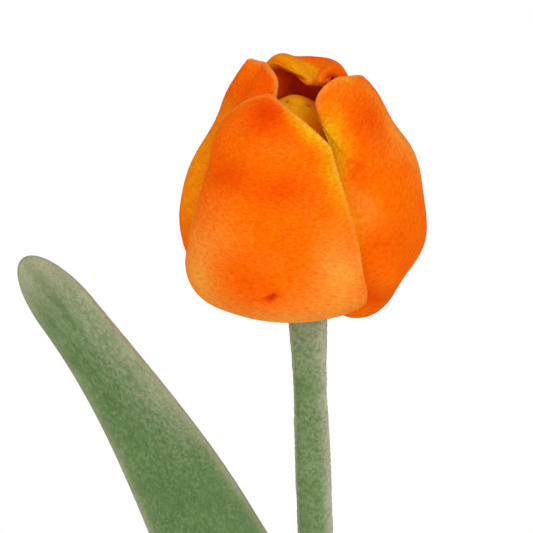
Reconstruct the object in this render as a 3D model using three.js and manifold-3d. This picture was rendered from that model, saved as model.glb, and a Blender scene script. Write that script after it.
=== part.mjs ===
// Plush tulip on a bendable stem, in millimetres, +Z up, with the origin at the foot of the stem.
// Every padded piece is built as it is sewn: two panels of short plush, seamed at the rim and turned,
// with a layer of wadding between them. Four such petals stand round a stuffed bud.
import * as THREE from "three";
import { mergeVertices } from "three/addons/utils/BufferGeometryUtils.js";
import Module from "manifold-3d";

const wasm = await Module();
wasm.setup();

// Cloth and clearances
const PLUSH = 1.2; // short plush with its backing
const CLEARANCE = 0.3; // air left between neighbouring pieces
const SEAM_TAPER = 0.45; // share of the plush's thickness that is left at a turned seam

// Stem
const STEM_RADIUS = 6.3;
const STEM_LENGTH = 300; // foot to neck, where the flower head starts
const STEM_WAIST_DEPTH = 0.5; // the cover is drawn in a little under the head
const STEM_WAIST_BELOW_NECK = 35;
const STEM_WAIST_SPREAD = 14;
const STEM_FLARE = 0.75; // and widens again where it meets the petals
const STEM_FLARE_LENGTH = 26;
const BEND_HEIGHT = 200; // where the wire is bent, above the leaf
const BEND_LEAN_DEG = -2.1; // lean of the upper stem in the rest pose
const NECK_LEAN_DEG = -1.5; // lean of the flower head on top of it
const CUP_ANGLE_DEG = 52; // how far up the side of a bend's ball its cup reaches
const WIRE_RADIUS = 1.2;
const WIRE_LOOP_RADIUS = 2.2; // the ends are turned into a ring so that they can't poke out
const WIRE_END_INSET = 3;

// Flower head, measured from the neck on the line where two panels of a petal meet
const BELLY_RADIUS = 39.4;
const BELLY_HEIGHT = 25;
const UNDERSIDE_HEIGHT = 0.3;
const UNDERSIDE_POWER = 3.2; // 2 is an ellipse, and more is squarer
const MOUTH_RADIUS = 20.5;
const MOUTH_HEIGHT = 84;
const SHOULDER_POWER = 1.2; // more keeps the belly's width further up
const PETAL_ROOT_RADIUS = 10.2; // where a petal's lower end is sewn to the base disc
const PETAL_SWELL_IN = 1.0; // how far the lining bulges inwards
const TUCK_RUN = 15; // length over which a covered edge dips under its neighbour
const TUCK_SWELL = 2.8; // what is left of the two petals' swell where one covers the other
const LEAN_HEIGHT = 62; // above this height a petal has turned to its point's side
const BULGE_LENGTH = 12; // how far a bulge reaches up and down a petal

// Heights of the petals' points, and the heights and radii at which their tops curl in
const FRONT_TIP = 80.2;
const FRONT_CURL_HEIGHT = 66;
const FRONT_CURL_RADIUS = 60;
const RIGHT_TIP = 82.5;
const RIGHT_CURL_HEIGHT = 74;
const RIGHT_CURL_RADIUS = 40;
const LEFT_TIP = 88.6;
const LEFT_CURL_HEIGHT = 70;
const LEFT_CURL_RADIUS = 60;
const BACK_TIP = 99.4;
const BACK_CURL_HEIGHT = 74.6;
const BACK_CURL_RADIUS = 7.5;
const FOLD_SHARE = 0.28; // how far a fold turns each place from its own way inwards to the fold's

// Bud and base disc
const BUD_TOP = 75;
const BUD_GORES = 3;
const BUD_GORE_COLUMNS = 7;
const BUD_OPENING_RADIUS = 7.5;
const BUD_CLOSING_DEG = 4; // the gores' points are gathered on a thread this far from the top
const BUD_TURN_DEG = 24;
const DISC_RADIUS = 9.4;
const BUD_WIRE_TOP = 30;

// Leaf
const LEAF_HEIGHT = 125; // where its root is sewn to the stem
const LEAF_LENGTH = 213;
const LEAF_HALF_WIDTH = 20.3;
const LEAF_TIP_HALF_WIDTH = 8;
const LEAF_WIDEST_FROM_TIP = 150;
const LEAF_TIP_ROUND = 10;
const LEAF_ROOT_ROUND = 12;
const LEAF_START_LEAN_DEG = 14.5;
const LEAF_END_LEAN_DEG = 39;
const LEAF_TWIST_DEG = 90; // the root clasps the stem and the blade faces forward
const LEAF_TWIST_LENGTH = 95;
const LEAF_CLASP_LENGTH = 30;
const LEAF_CUP_RADIUS = 70;
const LEAF_SWELL = 1.7; // on each face
const LEAF_WIRE_RADIUS = 0.5;
const LEAF_WIRE_REACH = 0.66; // share of the leaf's half length, either way from its middle

// A petal's azimuth is 0 at the front and grows to the right. Pairs are its left and right side.
// Its half width in degrees goes from low to high between two lengths from its root (turns), with a
// soft step out or in (ears), and rounds off over tipRound to its point: the higher tipPower, the
// broader the tip. lean turns its point to one side. Its top curls in towards the axis by an angle,
// and where fold gives an azimuth it turns partly to that side as it folds over. Above the height free
// its edges aren't tucked away. A bulge swells it out about an azimuth, at a length from its root.
const NO_EAR = { out: 0, at: 0, width: 1 };
const PETALS = {
  front: {
    azimuth: -23, lean: -3.5, low: [68.5, 62], high: [41.5, 51], turns: [[21, 67], [18, 62]],
    ears: [{ out: 8, at: 89, width: 9 }, { out: -3.5, at: 36, width: 11 }],
    rootRound: 24, tip: FRONT_TIP, tipRound: [16.5, 20.5], tipPower: [1.95, 1.33], swell: 2.8,
    curl: { height: FRONT_CURL_HEIGHT, radius: FRONT_CURL_RADIUS, angle: 6 },
    bulges: [
      { azimuth: -70, along: 30, width: 15, out: 1.1 },
      { azimuth: -50, along: 16, width: 22, out: -0.3 },
    ],
    under: [], free: 100,
  },
  right: {
    azimuth: 64, lean: -11.4, low: [44.5, 56], high: [24, 56], turns: [[54.5, 85.5], [40, 80]],
    ears: [{ out: 10, at: 104, width: 13 }, NO_EAR],
    rootRound: 24, tip: RIGHT_TIP, tipRound: [8.5, 9], tipPower: [2, 1.35], swell: 1.7,
    curl: { height: RIGHT_CURL_HEIGHT, radius: RIGHT_CURL_RADIUS, angle: 4 },
    bulges: [
      { azimuth: 64, along: 11.6, width: 20, out: 7.4 },
      { azimuth: 80.5, along: 23.7, width: 24, out: -6 },
      { azimuth: 86, along: 40.4, width: 22, out: 1.3 },
      { azimuth: 84, along: 69, width: 30, out: 2.8 },
      { azimuth: 84, along: 92.4, width: 34, out: 3.2 },
    ],
    under: ["front"], free: 64,
  },
  left: {
    azimuth: -109, lean: 7, low: [50, 62], high: [49, 77.5], turns: [[40, 80], [76, 92]],
    ears: [NO_EAR, NO_EAR],
    rootRound: 24, tip: LEFT_TIP, tipRound: [43, 7.5], tipPower: [1.3, 2.4], swell: 1.8,
    curl: { height: LEFT_CURL_HEIGHT, radius: LEFT_CURL_RADIUS, angle: 4 },
    bulges: [
      { azimuth: -73, along: 5, width: 14, out: -0.65 },
      { azimuth: -98, along: 112, width: 40, out: -0.8 },
      { azimuth: -105, along: 38.9, width: 24, out: 0.8 },
      { azimuth: -95, along: 82.6, width: 34, out: -1 },
    ],
    under: ["front"], free: 100,
  },
  back: {
    azimuth: 165, lean: -2.9, low: [54, 60], high: [58.6, 55.2], turns: [[40, 80], [40, 80]],
    ears: [{ out: -12.5, at: 121.8, width: 8.4 }, NO_EAR],
    rootRound: 24, tip: BACK_TIP, tipRound: [16.5, 15.5], tipPower: [1.75, 2.5], swell: 1.7,
    curl: { height: BACK_CURL_HEIGHT, radius: BACK_CURL_RADIUS, angle: 83 }, fold: 252,
    bulges: [
      { azimuth: 204, along: 104.7, width: 16, out: 3.3 },
      { azimuth: 118, along: 97, width: 16, out: 1.9 },
    ],
    under: ["right", "left"], free: 100,
  },
};

const ORANGE_PLUSH = new THREE.MeshStandardMaterial({ color: 0xf5680e, roughness: 0.95, metalness: 0 });
const LINING_PLUSH = new THREE.MeshStandardMaterial({ color: 0xd9620c, roughness: 0.95, metalness: 0 });
const BUD_PLUSH = new THREE.MeshStandardMaterial({ color: 0xe39a1e, roughness: 0.95, metalness: 0 });
const GREEN_PLUSH = new THREE.MeshStandardMaterial({ color: 0x7d9b68, roughness: 0.95, metalness: 0 });
const WADDING = new THREE.MeshStandardMaterial({ color: 0xf4f2ec, roughness: 1, metalness: 0 });
const COATED_WIRE = new THREE.MeshStandardMaterial({ color: 0xb9bcbc, roughness: 0.45, metalness: 0.3 });

const EDGE = CLEARANCE / 2; // either panel stands this far off the seam's mid-surface
const RIM_OFFSET = EDGE + PLUSH;
// A covered petal sinks by both rims and what is left of the swell where the two overlap.
const TUCK_DEPTH = 2 * RIM_OFFSET + CLEARANCE + TUCK_SWELL;
const BUD_INSET = TUCK_DEPTH + RIM_OFFSET + PETAL_SWELL_IN + 2 * CLEARANCE;
const BALL_RADIUS = STEM_RADIUS - CLEARANCE;
const CUP_RADIUS = BALL_RADIUS + CLEARANCE;
const PETAL_SPOKES = 40;
const RINGS = [0.35, 0.6, 0.8, 0.93, 1]; // a pad's grid, from its middle to its seam
const FOLDED_RINGS = [0.35, 0.6, 0.67, 0.72, 0.77, 0.82, 0.88, 0.94, 1]; // closer, for a pad with a fold

const radians = THREE.MathUtils.degToRad;
const smoothstep = (low, high, x) => THREE.MathUtils.smoothstep(x, low, high);

// Meshes from grids

// A closed mesh from points and triangles, turned so that its faces point outwards.
function closedMesh(points, faces) {
  let volume = 0;
  for (const [a, b, c] of faces) {
    volume += points[a].dot(new THREE.Vector3().crossVectors(points[b], points[c]));
  }
  const geometry = new THREE.BufferGeometry().setFromPoints(points);
  geometry.setIndex(faces.flatMap(([a, b, c]) => (volume > 0 ? [a, b, c] : [a, c, b])));
  geometry.computeVertexNormals();
  return geometry;
}

// A pad between two surfaces given as functions of (ring, angle), where ring runs from 0 to 1.
function padBetween(upper, lower, rings, spokes) {
  const points = [];
  const faces = [];
  const layer = (surface) => {
    const first = points.length;
    points.push(surface(0, 0));
    for (const ring of rings) {
      for (let k = 0; k < spokes; k++) points.push(surface(ring, (2 * Math.PI * k) / spokes));
    }
    return first;
  };
  const at = (first, ring, k) => first + 1 + ring * spokes + (k % spokes);
  const cover = (first, flip) => {
    const face = (a, b, c) => faces.push(flip ? [a, c, b] : [a, b, c]);
    for (let k = 0; k < spokes; k++) {
      face(first, at(first, 0, k), at(first, 0, k + 1));
      for (let ring = 1; ring < rings.length; ring++) {
        face(at(first, ring - 1, k), at(first, ring, k), at(first, ring, k + 1));
        face(at(first, ring - 1, k), at(first, ring, k + 1), at(first, ring - 1, k + 1));
      }
    }
  };
  const top = layer(upper);
  const bottom = layer(lower);
  cover(top, false);
  cover(bottom, true);
  const last = rings.length - 1;
  for (let k = 0; k < spokes; k++) {
    faces.push([at(top, last, k), at(bottom, last, k), at(bottom, last, k + 1)]);
    faces.push([at(top, last, k), at(bottom, last, k + 1), at(top, last, k + 1)]);
  }
  return closedMesh(points, faces);
}

// A curved plate between two surfaces given as functions of (u, v), both from 0 to 1.
function plateBetween(upper, lower, columns, rows) {
  const points = [];
  const faces = [];
  for (const surface of [upper, lower]) {
    for (let j = 0; j <= rows; j++) {
      for (let i = 0; i <= columns; i++) points.push(surface(i / columns, j / rows));
    }
  }
  const layerSize = (columns + 1) * (rows + 1);
  const at = (layer, i, j) => layer * layerSize + j * (columns + 1) + i;
  const quad = (a, b, c, d) => faces.push([a, b, c], [a, c, d]);
  for (let j = 0; j < rows; j++) {
    for (let i = 0; i < columns; i++) {
      quad(at(0, i, j), at(0, i + 1, j), at(0, i + 1, j + 1), at(0, i, j + 1));
      quad(at(1, i, j), at(1, i, j + 1), at(1, i + 1, j + 1), at(1, i + 1, j));
    }
  }
  for (let i = 0; i < columns; i++) {
    quad(at(0, i, 0), at(1, i, 0), at(1, i + 1, 0), at(0, i + 1, 0));
    quad(at(0, i, rows), at(0, i + 1, rows), at(1, i + 1, rows), at(1, i, rows));
  }
  for (let j = 0; j < rows; j++) {
    quad(at(0, 0, j), at(0, 0, j + 1), at(1, 0, j + 1), at(1, 0, j));
    quad(at(0, columns, j), at(1, columns, j), at(1, columns, j + 1), at(0, columns, j + 1));
  }
  return closedMesh(points, faces);
}

// A solid of revolution about Z from a closed outline of [radius, height] pairs.
function turned(outline, sides) {
  const profile = outline.map(([r, z]) => new THREE.Vector2(r, z));
  if (outline[0][0] > 0) profile.push(profile[0].clone());
  return new THREE.LatheGeometry(profile, sides).rotateX(Math.PI / 2);
}

// A round wire along a path of points, closed at both ends.
function wireAlong(path, radius, steps) {
  const section = new THREE.Shape();
  section.absarc(0, 0, radius, 0, 2 * Math.PI);
  return new THREE.ExtrudeGeometry(section, { extrudePath: path, steps, curveSegments: 4 });
}

// One closed mesh less another.
function cut(geometry, cutter) {
  const [body, tool] = [geometry, cutter].map((source) => {
    const bare = source.clone();
    bare.deleteAttribute("normal");
    bare.deleteAttribute("uv");
    const merged = mergeVertices(bare, 1e-5);
    const vertProperties = merged.attributes.position.array;
    const triVerts = new Uint32Array(merged.index.array);
    return new wasm.Manifold(new wasm.Mesh({ numProp: 3, vertProperties, triVerts }));
  });
  const { vertProperties, triVerts } = body.subtract(tool).getMesh();
  const result = new THREE.BufferGeometry();
  result.setAttribute("position", new THREE.BufferAttribute(vertProperties, 3));
  result.setIndex(new THREE.BufferAttribute(triVerts, 1));
  result.computeVertexNormals();
  return result;
}

function named(name, geometry, material) {
  const mesh = new THREE.Mesh(geometry, material);
  mesh.name = name;
  return mesh;
}

// How full a pad is at a ring: 1 in its middle and 0 at its seam.
const pillow = (ring) => Math.pow(1 - ring * ring, 0.62);

// The three sewn layers of a pad. place(ring, angle, offset) gives a point at that distance from the
// pad's mid-surface, on the outer side where the offset is positive.
function sewnPad(place, swellOut, swellIn, spokes, rings = RINGS) {
  const cloth = (ring) => PLUSH * (ring < 1 ? 1 : SEAM_TAPER);
  const outside = (ring) => EDGE + swellOut * pillow(ring);
  const inside = (ring) => EDGE + swellIn * pillow(ring);
  return {
    face: padBetween(
      (ring, angle) => place(ring, angle, outside(ring) + cloth(ring)),
      (ring, angle) => place(ring, angle, outside(ring)), rings, spokes),
    lining: padBetween(
      (ring, angle) => place(ring, angle, -inside(ring)),
      (ring, angle) => place(ring, angle, -inside(ring) - cloth(ring)), rings, spokes),
    wadding: padBetween(
      (ring, angle) => place(ring, angle, outside(ring) - CLEARANCE),
      (ring, angle) => place(ring, angle, CLEARANCE - inside(ring)), rings.slice(0, -1), spokes),
  };
}

// Rounds the end of an outline: 0 at the end itself, and 1 from the given length on.
function rounding(distance, length, power) {
  const left = 1 - Math.min(Math.max(distance / length, 0), 1);
  return Math.pow(1 - Math.pow(left, power), 1 / power);
}

// The seam line of a pad as (across, along), where the angle goes once round it.
function padOutline(angle, length, halfWidthAt) {
  const up = angle <= Math.PI ? angle : 2 * Math.PI - angle;
  const side = angle <= Math.PI ? 1 : -1;
  const along = (length * (1 - Math.cos(up))) / 2;
  return [side * halfWidthAt(along, side), along];
}

// Flower head

// Radius of the head's outline above the belly.
function shoulderRadius(height) {
  const share = (height - BELLY_HEIGHT) / (MOUTH_HEIGHT - BELLY_HEIGHT);
  const fall = 0.5 + 0.5 * Math.cos(Math.PI * Math.pow(share, SHOULDER_POWER));
  return MOUTH_RADIUS + (BELLY_RADIUS - MOUTH_RADIUS) * fall;
}

// A point of the outline below the belly, at a turn from the axis (0) to the belly (90 degrees).
function undersidePoint(turn, inset, lift, power) {
  const depth = BELLY_HEIGHT - UNDERSIDE_HEIGHT - lift;
  const r = (BELLY_RADIUS - inset) * Math.pow(Math.sin(turn), 2 / power);
  return [r, BELLY_HEIGHT - depth * Math.pow(Math.max(Math.cos(turn), 0), 2 / power)];
}

// The turn at which the outline below the belly has a radius.
const undersideTurn = (radius, inset, power) =>
  Math.asin(Math.pow(radius / (BELLY_RADIUS - inset), power / 2));

// The head's outline from the petals' roots, under the belly and up to the mouth, by arc length.
function headProfile() {
  const start = undersideTurn(PETAL_ROOT_RADIUS, 0, UNDERSIDE_POWER);
  const steps = 60;
  const points = [];
  for (let i = 0; i <= steps; i++) {
    const turn = start + ((Math.PI / 2 - start) * i) / steps;
    points.push(undersidePoint(turn, 0, 0, UNDERSIDE_POWER));
  }
  for (let i = 1; i <= steps; i++) {
    const height = BELLY_HEIGHT + ((MOUTH_HEIGHT - BELLY_HEIGHT) * i) / steps;
    points.push([shoulderRadius(height), height]);
  }
  const lengths = [0];
  for (let i = 1; i < points.length; i++) {
    const [r, z] = points[i];
    lengths.push(lengths[i - 1] + Math.hypot(r - points[i - 1][0], z - points[i - 1][1]));
  }
  const leans = points.map((point, i) => {
    const [r0, z0] = points[Math.max(i - 1, 0)];
    const [r1, z1] = points[Math.min(i + 1, points.length - 1)];
    return Math.atan2(r0 - r1, z1 - z0);
  });
  return { points, lengths, leans };
}

const PROFILE = headProfile();

// Radius, height and lean of the head's outline at an arc length. It runs straight on past its end.
function profileAt(length) {
  const { points, lengths, leans } = PROFILE;
  let i = 1;
  while (i < points.length - 1 && lengths[i] < length) i++;
  const [r0, z0] = points[i - 1];
  const [r1, z1] = points[i];
  const share = (length - lengths[i - 1]) / (lengths[i] - lengths[i - 1]);
  const lean = leans[i - 1] + (leans[i] - leans[i - 1]) * Math.min(share, 1);
  return { r: r0 + (r1 - r0) * share, z: z0 + (z1 - z0) * share, lean };
}

// Arc length at which the outline, above the belly, reaches a height.
function lengthAtHeight(height) {
  const { points, lengths } = PROFILE;
  const last = points.length - 1;
  if (height >= points[last][1]) return lengths[last] + height - points[last][1];
  let i = last;
  while (i > 1 && points[i - 1][1] > height) i--;
  const share = (height - points[i - 1][1]) / (points[i][1] - points[i - 1][1]);
  return lengths[i - 1] + (lengths[i] - lengths[i - 1]) * share;
}

// The outline of one petal: the head's, until its top curls in along an arc and then runs straight.
// Its radius is the one at which the curl starts, and inward is how far it has come in from there.
function petalProfileAt(length, curl) {
  const start = lengthAtHeight(curl.height);
  if (length <= start) return { ...profileAt(length), inward: 0 };
  const from = profileAt(start);
  const turn = Math.min((length - start) / curl.radius, radians(curl.angle));
  const straight = length - start - turn * curl.radius;
  const lean = from.lean + turn;
  return {
    r: from.r,
    z: from.z + curl.radius * (Math.sin(lean) - Math.sin(from.lean)) + straight * Math.cos(lean),
    lean,
    inward: curl.radius * (Math.cos(from.lean) - Math.cos(lean)) + straight * Math.sin(lean),
  };
}

const around = (azimuth) => THREE.MathUtils.euclideanModulo(azimuth + 180, 360) - 180;
const leanAt = (petal, along) =>
  petal.lean * smoothstep(lengthAtHeight(BELLY_HEIGHT), lengthAtHeight(LEAN_HEIGHT), along);

// A petal's half width on one side in degrees, before its ends are rounded off.
function reachAt(petal, side, along) {
  const hand = side > 0 ? 1 : 0;
  const { out, at, width } = petal.ears[hand];
  const grown = smoothstep(...petal.turns[hand], along);
  const ear = out * Math.exp(-(((along - at) / width) ** 2));
  return petal.low[hand] + (petal.high[hand] - petal.low[hand]) * grown + ear;
}

// How far a petal sinks at an azimuth to pass under the petals that cover its edges.
function tuckAt(azimuth, along, petal) {
  let depth = 0;
  for (const other of petal.under.map((key) => PETALS[key])) {
    const side = Math.sign(around(petal.azimuth - other.azimuth));
    const turned = side * around(azimuth - other.azimuth - leanAt(other, along));
    const past = turned - reachAt(other, side, along);
    const run = radians(past) * Math.max(profileAt(along).r, PETAL_ROOT_RADIUS);
    depth = Math.max(depth, 1 - smoothstep(0, TUCK_RUN, run));
  }
  const start = lengthAtHeight(petal.free);
  const below = smoothstep(0.05 * petal.rootRound, 0.75 * petal.rootRound, along);
  return TUCK_DEPTH * depth * below * (1 - smoothstep(start, start + TUCK_RUN, along));
}

// How far a petal's bulges push it out at a place.
function bulgeAt(azimuth, along, petal) {
  let out = 0;
  for (const bulge of petal.bulges) {
    const across = around(azimuth - bulge.azimuth) / bulge.width;
    const up = (along - bulge.along) / BULGE_LENGTH;
    out += bulge.out * Math.exp(-(across * across) - up * up);
  }
  return out;
}

function petalPlace(petal) {
  const length = lengthAtHeight(petal.tip);
  const middle = 0.55 * length;
  const angleAt = (along, side) => {
    const hand = side > 0 ? 1 : 0;
    return reachAt(petal, side, along) * rounding(along, petal.rootRound, 2) *
      rounding(length - along, petal.tipRound[hand], petal.tipPower[hand]);
  };
  const onPetal = (across, along) => {
    const azimuth = petal.azimuth + leanAt(petal, along) + across;
    const { r, z, lean: slope, inward } = petalProfileAt(along, petal.curl);
    const sunk = tuckAt(azimuth, along, petal) * Math.min(r / MOUTH_RADIUS, 1);
    const out = bulgeAt(azimuth, along, petal);
    const radius = r + out * Math.cos(slope) - sunk * Math.cos(Math.min(slope, 0));
    const height = z + out * Math.sin(slope) - sunk * Math.sin(Math.min(slope, 0));
    const turn = radians(azimuth);
    const aside = petal.fold === undefined ? 0 : around(petal.fold - azimuth);
    const fold = turn + radians(FOLD_SHARE * aside);
    return new THREE.Vector3(
      radius * Math.sin(turn) - inward * Math.sin(fold),
      inward * Math.cos(fold) - radius * Math.cos(turn), height);
  };
  return (ring, angle, offset) => {
    const [across, along] = padOutline(angle, length, angleAt);
    const u = ring * across;
    const v = middle + ring * (along - middle);
    const point = onPetal(u, v);
    const step = 0.05;
    const sideways = onPetal(u + step, v).sub(onPetal(u - step, v));
    const upwards = onPetal(u, v + step).sub(onPetal(u, v - step));
    return point.addScaledVector(sideways.cross(upwards).normalize(), offset);
  };
}

function buildPetal(key) {
  const { swell, fold } = PETALS[key];
  const rings = fold === undefined ? RINGS : FOLDED_RINGS;
  const layers = sewnPad(petalPlace(PETALS[key]), swell, PETAL_SWELL_IN, PETAL_SPOKES, rings);
  return [
    named(`petal_${key}_face`, layers.face, ORANGE_PLUSH),
    named(`petal_${key}_lining`, layers.lining, LINING_PLUSH),
    named(`petal_${key}_wadding`, layers.wadding, WADDING),
  ];
}

// The bud's outline inside the petals, from its opening at the base disc to its closed top.
function budOutline(sink) {
  const inset = BUD_INSET + sink;
  const power = 2;
  const lift = PLUSH / 2 + 2 * CLEARANCE + sink;
  const start = undersideTurn(BUD_OPENING_RADIUS, BUD_INSET, power);
  const top = BUD_TOP - sink;
  const belowSteps = 5;
  const aboveSteps = 8;
  const outline = [];
  for (let i = 0; i <= belowSteps; i++) {
    const turn = start + ((Math.PI / 2 - start) * i) / belowSteps;
    outline.push(undersidePoint(turn, inset, lift, power));
  }
  const end = Math.PI / 2 - radians(BUD_CLOSING_DEG);
  for (let i = 1; i <= aboveSteps; i++) {
    const share = Math.sin((end * i) / aboveSteps);
    const height = BELLY_HEIGHT + (top - BELLY_HEIGHT) * share;
    outline.push([(shoulderRadius(height) - inset) * Math.sqrt(1 - share ** 4), height]);
  }
  return outline;
}

function buildBud() {
  const rows = budOutline(0).length - 1;
  const gore = (index) => {
    const surface = (outline) => (u, v) => {
      const [r, z] = outline[Math.round(v * rows)];
      const seam = Math.asin(Math.min(EDGE / r, 1));
      const half = Math.PI / BUD_GORES;
      const turn = radians(BUD_TURN_DEG) + 2 * half * index + (half - seam) * (2 * u - 1);
      return new THREE.Vector3(r * Math.sin(turn), -r * Math.cos(turn), z);
    };
    return plateBetween(surface(budOutline(0)), surface(budOutline(PLUSH)), BUD_GORE_COLUMNS, rows);
  };
  const outline = budOutline(PLUSH + CLEARANCE);
  const bore = WIRE_LOOP_RADIUS + WIRE_RADIUS + CLEARANCE;
  const foot = outline[0][1];
  const boreTop = BUD_WIRE_TOP + CLEARANCE;
  const stuffing = turned(
    [[0, boreTop], [bore, boreTop], [bore, foot], ...outline, [0, outline[rows][1]]],
    BUD_GORES * BUD_GORE_COLUMNS);
  stuffing.rotateZ(radians(BUD_TURN_DEG) + Math.PI / BUD_GORES - Math.PI / 2);
  const gores = [];
  for (let i = 0; i < BUD_GORES; i++) gores.push(named(`bud_gore_${i + 1}`, gore(i), BUD_PLUSH));
  return [...gores, named("bud_stuffing", stuffing, WADDING)];
}

// Bends: the piece above ends in a ball round the bend's centre, and the one below in a cup round it.

const shifted = (points, rise) => points.map(([r, z]) => [r, z + rise]);

// Points on the lower half of a sphere round the bend's centre, from one radius to another.
function sphereArc(sphere, fromRadius, toRadius, steps) {
  const points = [];
  for (let i = 0; i <= steps; i++) {
    const r = fromRadius + ((toRadius - fromRadius) * i) / steps;
    points.push([r, -Math.sqrt(Math.max(sphere * sphere - r * r, 0))]);
  }
  return points;
}

// The top of a piece below a bend, from outside to inside: level at the cup's rim and hollow in it.
function cupTop(fromRadius, toRadius) {
  const rim = -CUP_RADIUS * Math.cos(radians(CUP_ANGLE_DEG));
  const rimRadius = Math.min(CUP_RADIUS * Math.sin(radians(CUP_ANGLE_DEG)), fromRadius);
  const level = rimRadius < fromRadius ? [[fromRadius, rim]] : [];
  if (rimRadius <= toRadius) return [...level, [toRadius, rim]];
  return [...level, ...sphereArc(CUP_RADIUS, rimRadius, toRadius, 5)];
}

const stemRadiusAt = (height) => {
  const offset = (height - (STEM_LENGTH - STEM_WAIST_BELOW_NECK)) / STEM_WAIST_SPREAD;
  const flare = STEM_FLARE * smoothstep(STEM_LENGTH - STEM_FLARE_LENGTH, STEM_LENGTH, height);
  return STEM_RADIUS - STEM_WAIST_DEPTH * Math.exp(-offset * offset) + flare;
};

// One length of the stem as three nested turned pieces: cover, wadding sleeve and wire.
// Its top always ends in a cup, and its foot in a ball or, at the stem's foot, flat.
function stemLength(suffix, from, to, endsInBall) {
  const count = 6;
  const rim = to - CUP_RADIUS * Math.cos(radians(CUP_ANGLE_DEG));
  const foot = endsInBall ? from : from + PLUSH + CLEARANCE;
  const heights = [];
  for (let i = 1; i < count; i++) heights.push(foot + ((rim - foot) * i) / count);
  const innerAt = (height) => stemRadiusAt(height) - PLUSH;
  const sleeveAt = (height) => innerAt(height) - CLEARANCE;
  const ballEnd = (fromRadius, toRadius) =>
    shifted(sphereArc(BALL_RADIUS, fromRadius, Math.min(toRadius, BALL_RADIUS), 4), from);

  const cover = [
    ...(endsInBall ? ballEnd(innerAt(foot), BALL_RADIUS) : [[innerAt(foot), foot]]),
    [stemRadiusAt(foot), foot],
    ...heights.map((z) => [stemRadiusAt(z), z]),
    ...shifted(cupTop(stemRadiusAt(rim), innerAt(rim)), to),
    ...[...heights].reverse().map((z) => [innerAt(z), z]),
  ];

  const bore = WIRE_RADIUS + CLEARANCE;
  const pocket = WIRE_LOOP_RADIUS + WIRE_RADIUS + CLEARANCE;
  const wireFoot = foot + WIRE_END_INSET;
  const pocketTop = wireFoot + 2 * (WIRE_LOOP_RADIUS + WIRE_RADIUS) + WIRE_LOOP_RADIUS;
  const sleeve = [
    ...(endsInBall
      ? ballEnd(bore, sleeveAt(foot))
      : [[bore, pocketTop], [pocket, pocketTop], [pocket, foot], [sleeveAt(foot), foot]]),
    ...heights.map((z) => [sleeveAt(z), z]),
    ...shifted(cupTop(sleeveAt(rim), bore), to),
  ];

  const wire = endsInBall
    ? turned([...ballEnd(0, WIRE_RADIUS), ...shifted(cupTop(WIRE_RADIUS, 0), to)], 8)
    : loopedWire(to - CUP_RADIUS - wireFoot).translate(0, 0, wireFoot);
  return [
    named(`stem_cover_${suffix}`, turned(cover, 16), GREEN_PLUSH),
    named(`stem_wadding_${suffix}`, turned(sleeve, 14), WADDING),
    named(`stem_wire_${suffix}`, wire, COATED_WIRE),
  ];
}

// A straight wire from Z 0 up to a length, whose lower end is turned into a ring beside itself.
function loopedWire(length) {
  const ringGap = radians(40); // the ring stays open, as a bent end does
  const centre = WIRE_RADIUS + WIRE_LOOP_RADIUS;
  const steps = 14;
  const points = [];
  for (let i = 0; i <= steps; i++) {
    const turn = Math.PI / 2 - ringGap - ((2 * Math.PI - ringGap) * i) / steps;
    const across = WIRE_LOOP_RADIUS * Math.cos(turn);
    points.push(new THREE.Vector3(across, 0, centre + WIRE_LOOP_RADIUS * Math.sin(turn)));
  }
  points.push(new THREE.Vector3(0, 0, centre + 2 * WIRE_LOOP_RADIUS + WIRE_RADIUS));
  points.push(new THREE.Vector3(0, 0, length));
  return wireAlong(new THREE.CatmullRomCurve3(points, false, "centripetal"), WIRE_RADIUS, 36);
}

// The stem's foot is closed by a small round of plush.
function footDisc() {
  const round = 0.3;
  return turned([
    [0, 0], [STEM_RADIUS - round, 0], [STEM_RADIUS, round], [STEM_RADIUS, PLUSH - round],
    [STEM_RADIUS - round, PLUSH], [0, PLUSH],
  ], 24);
}

// The round of plush that closes the head from below, and its gathered neck, which is the neck's ball.
function baseDisc() {
  const bore = WIRE_RADIUS + CLEARANCE;
  const under = UNDERSIDE_HEIGHT - PLUSH / 2;
  const neck = under < 0 ? Math.sqrt(BALL_RADIUS ** 2 - under ** 2) : BALL_RADIUS;
  return turned([
    ...sphereArc(BALL_RADIUS, bore, neck, 6), [neck, under], [DISC_RADIUS, under],
    [DISC_RADIUS, under + PLUSH], [bore, under + PLUSH],
  ], 24);
}

// The end of the stem's wire inside the bud, whose ring is at its top.
function budWire() {
  const foot = Math.sqrt(BALL_RADIUS ** 2 - WIRE_RADIUS ** 2);
  return loopedWire(BUD_WIRE_TOP + foot).rotateX(Math.PI).translate(0, 0, BUD_WIRE_TOP);
}

// Leaf

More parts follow.
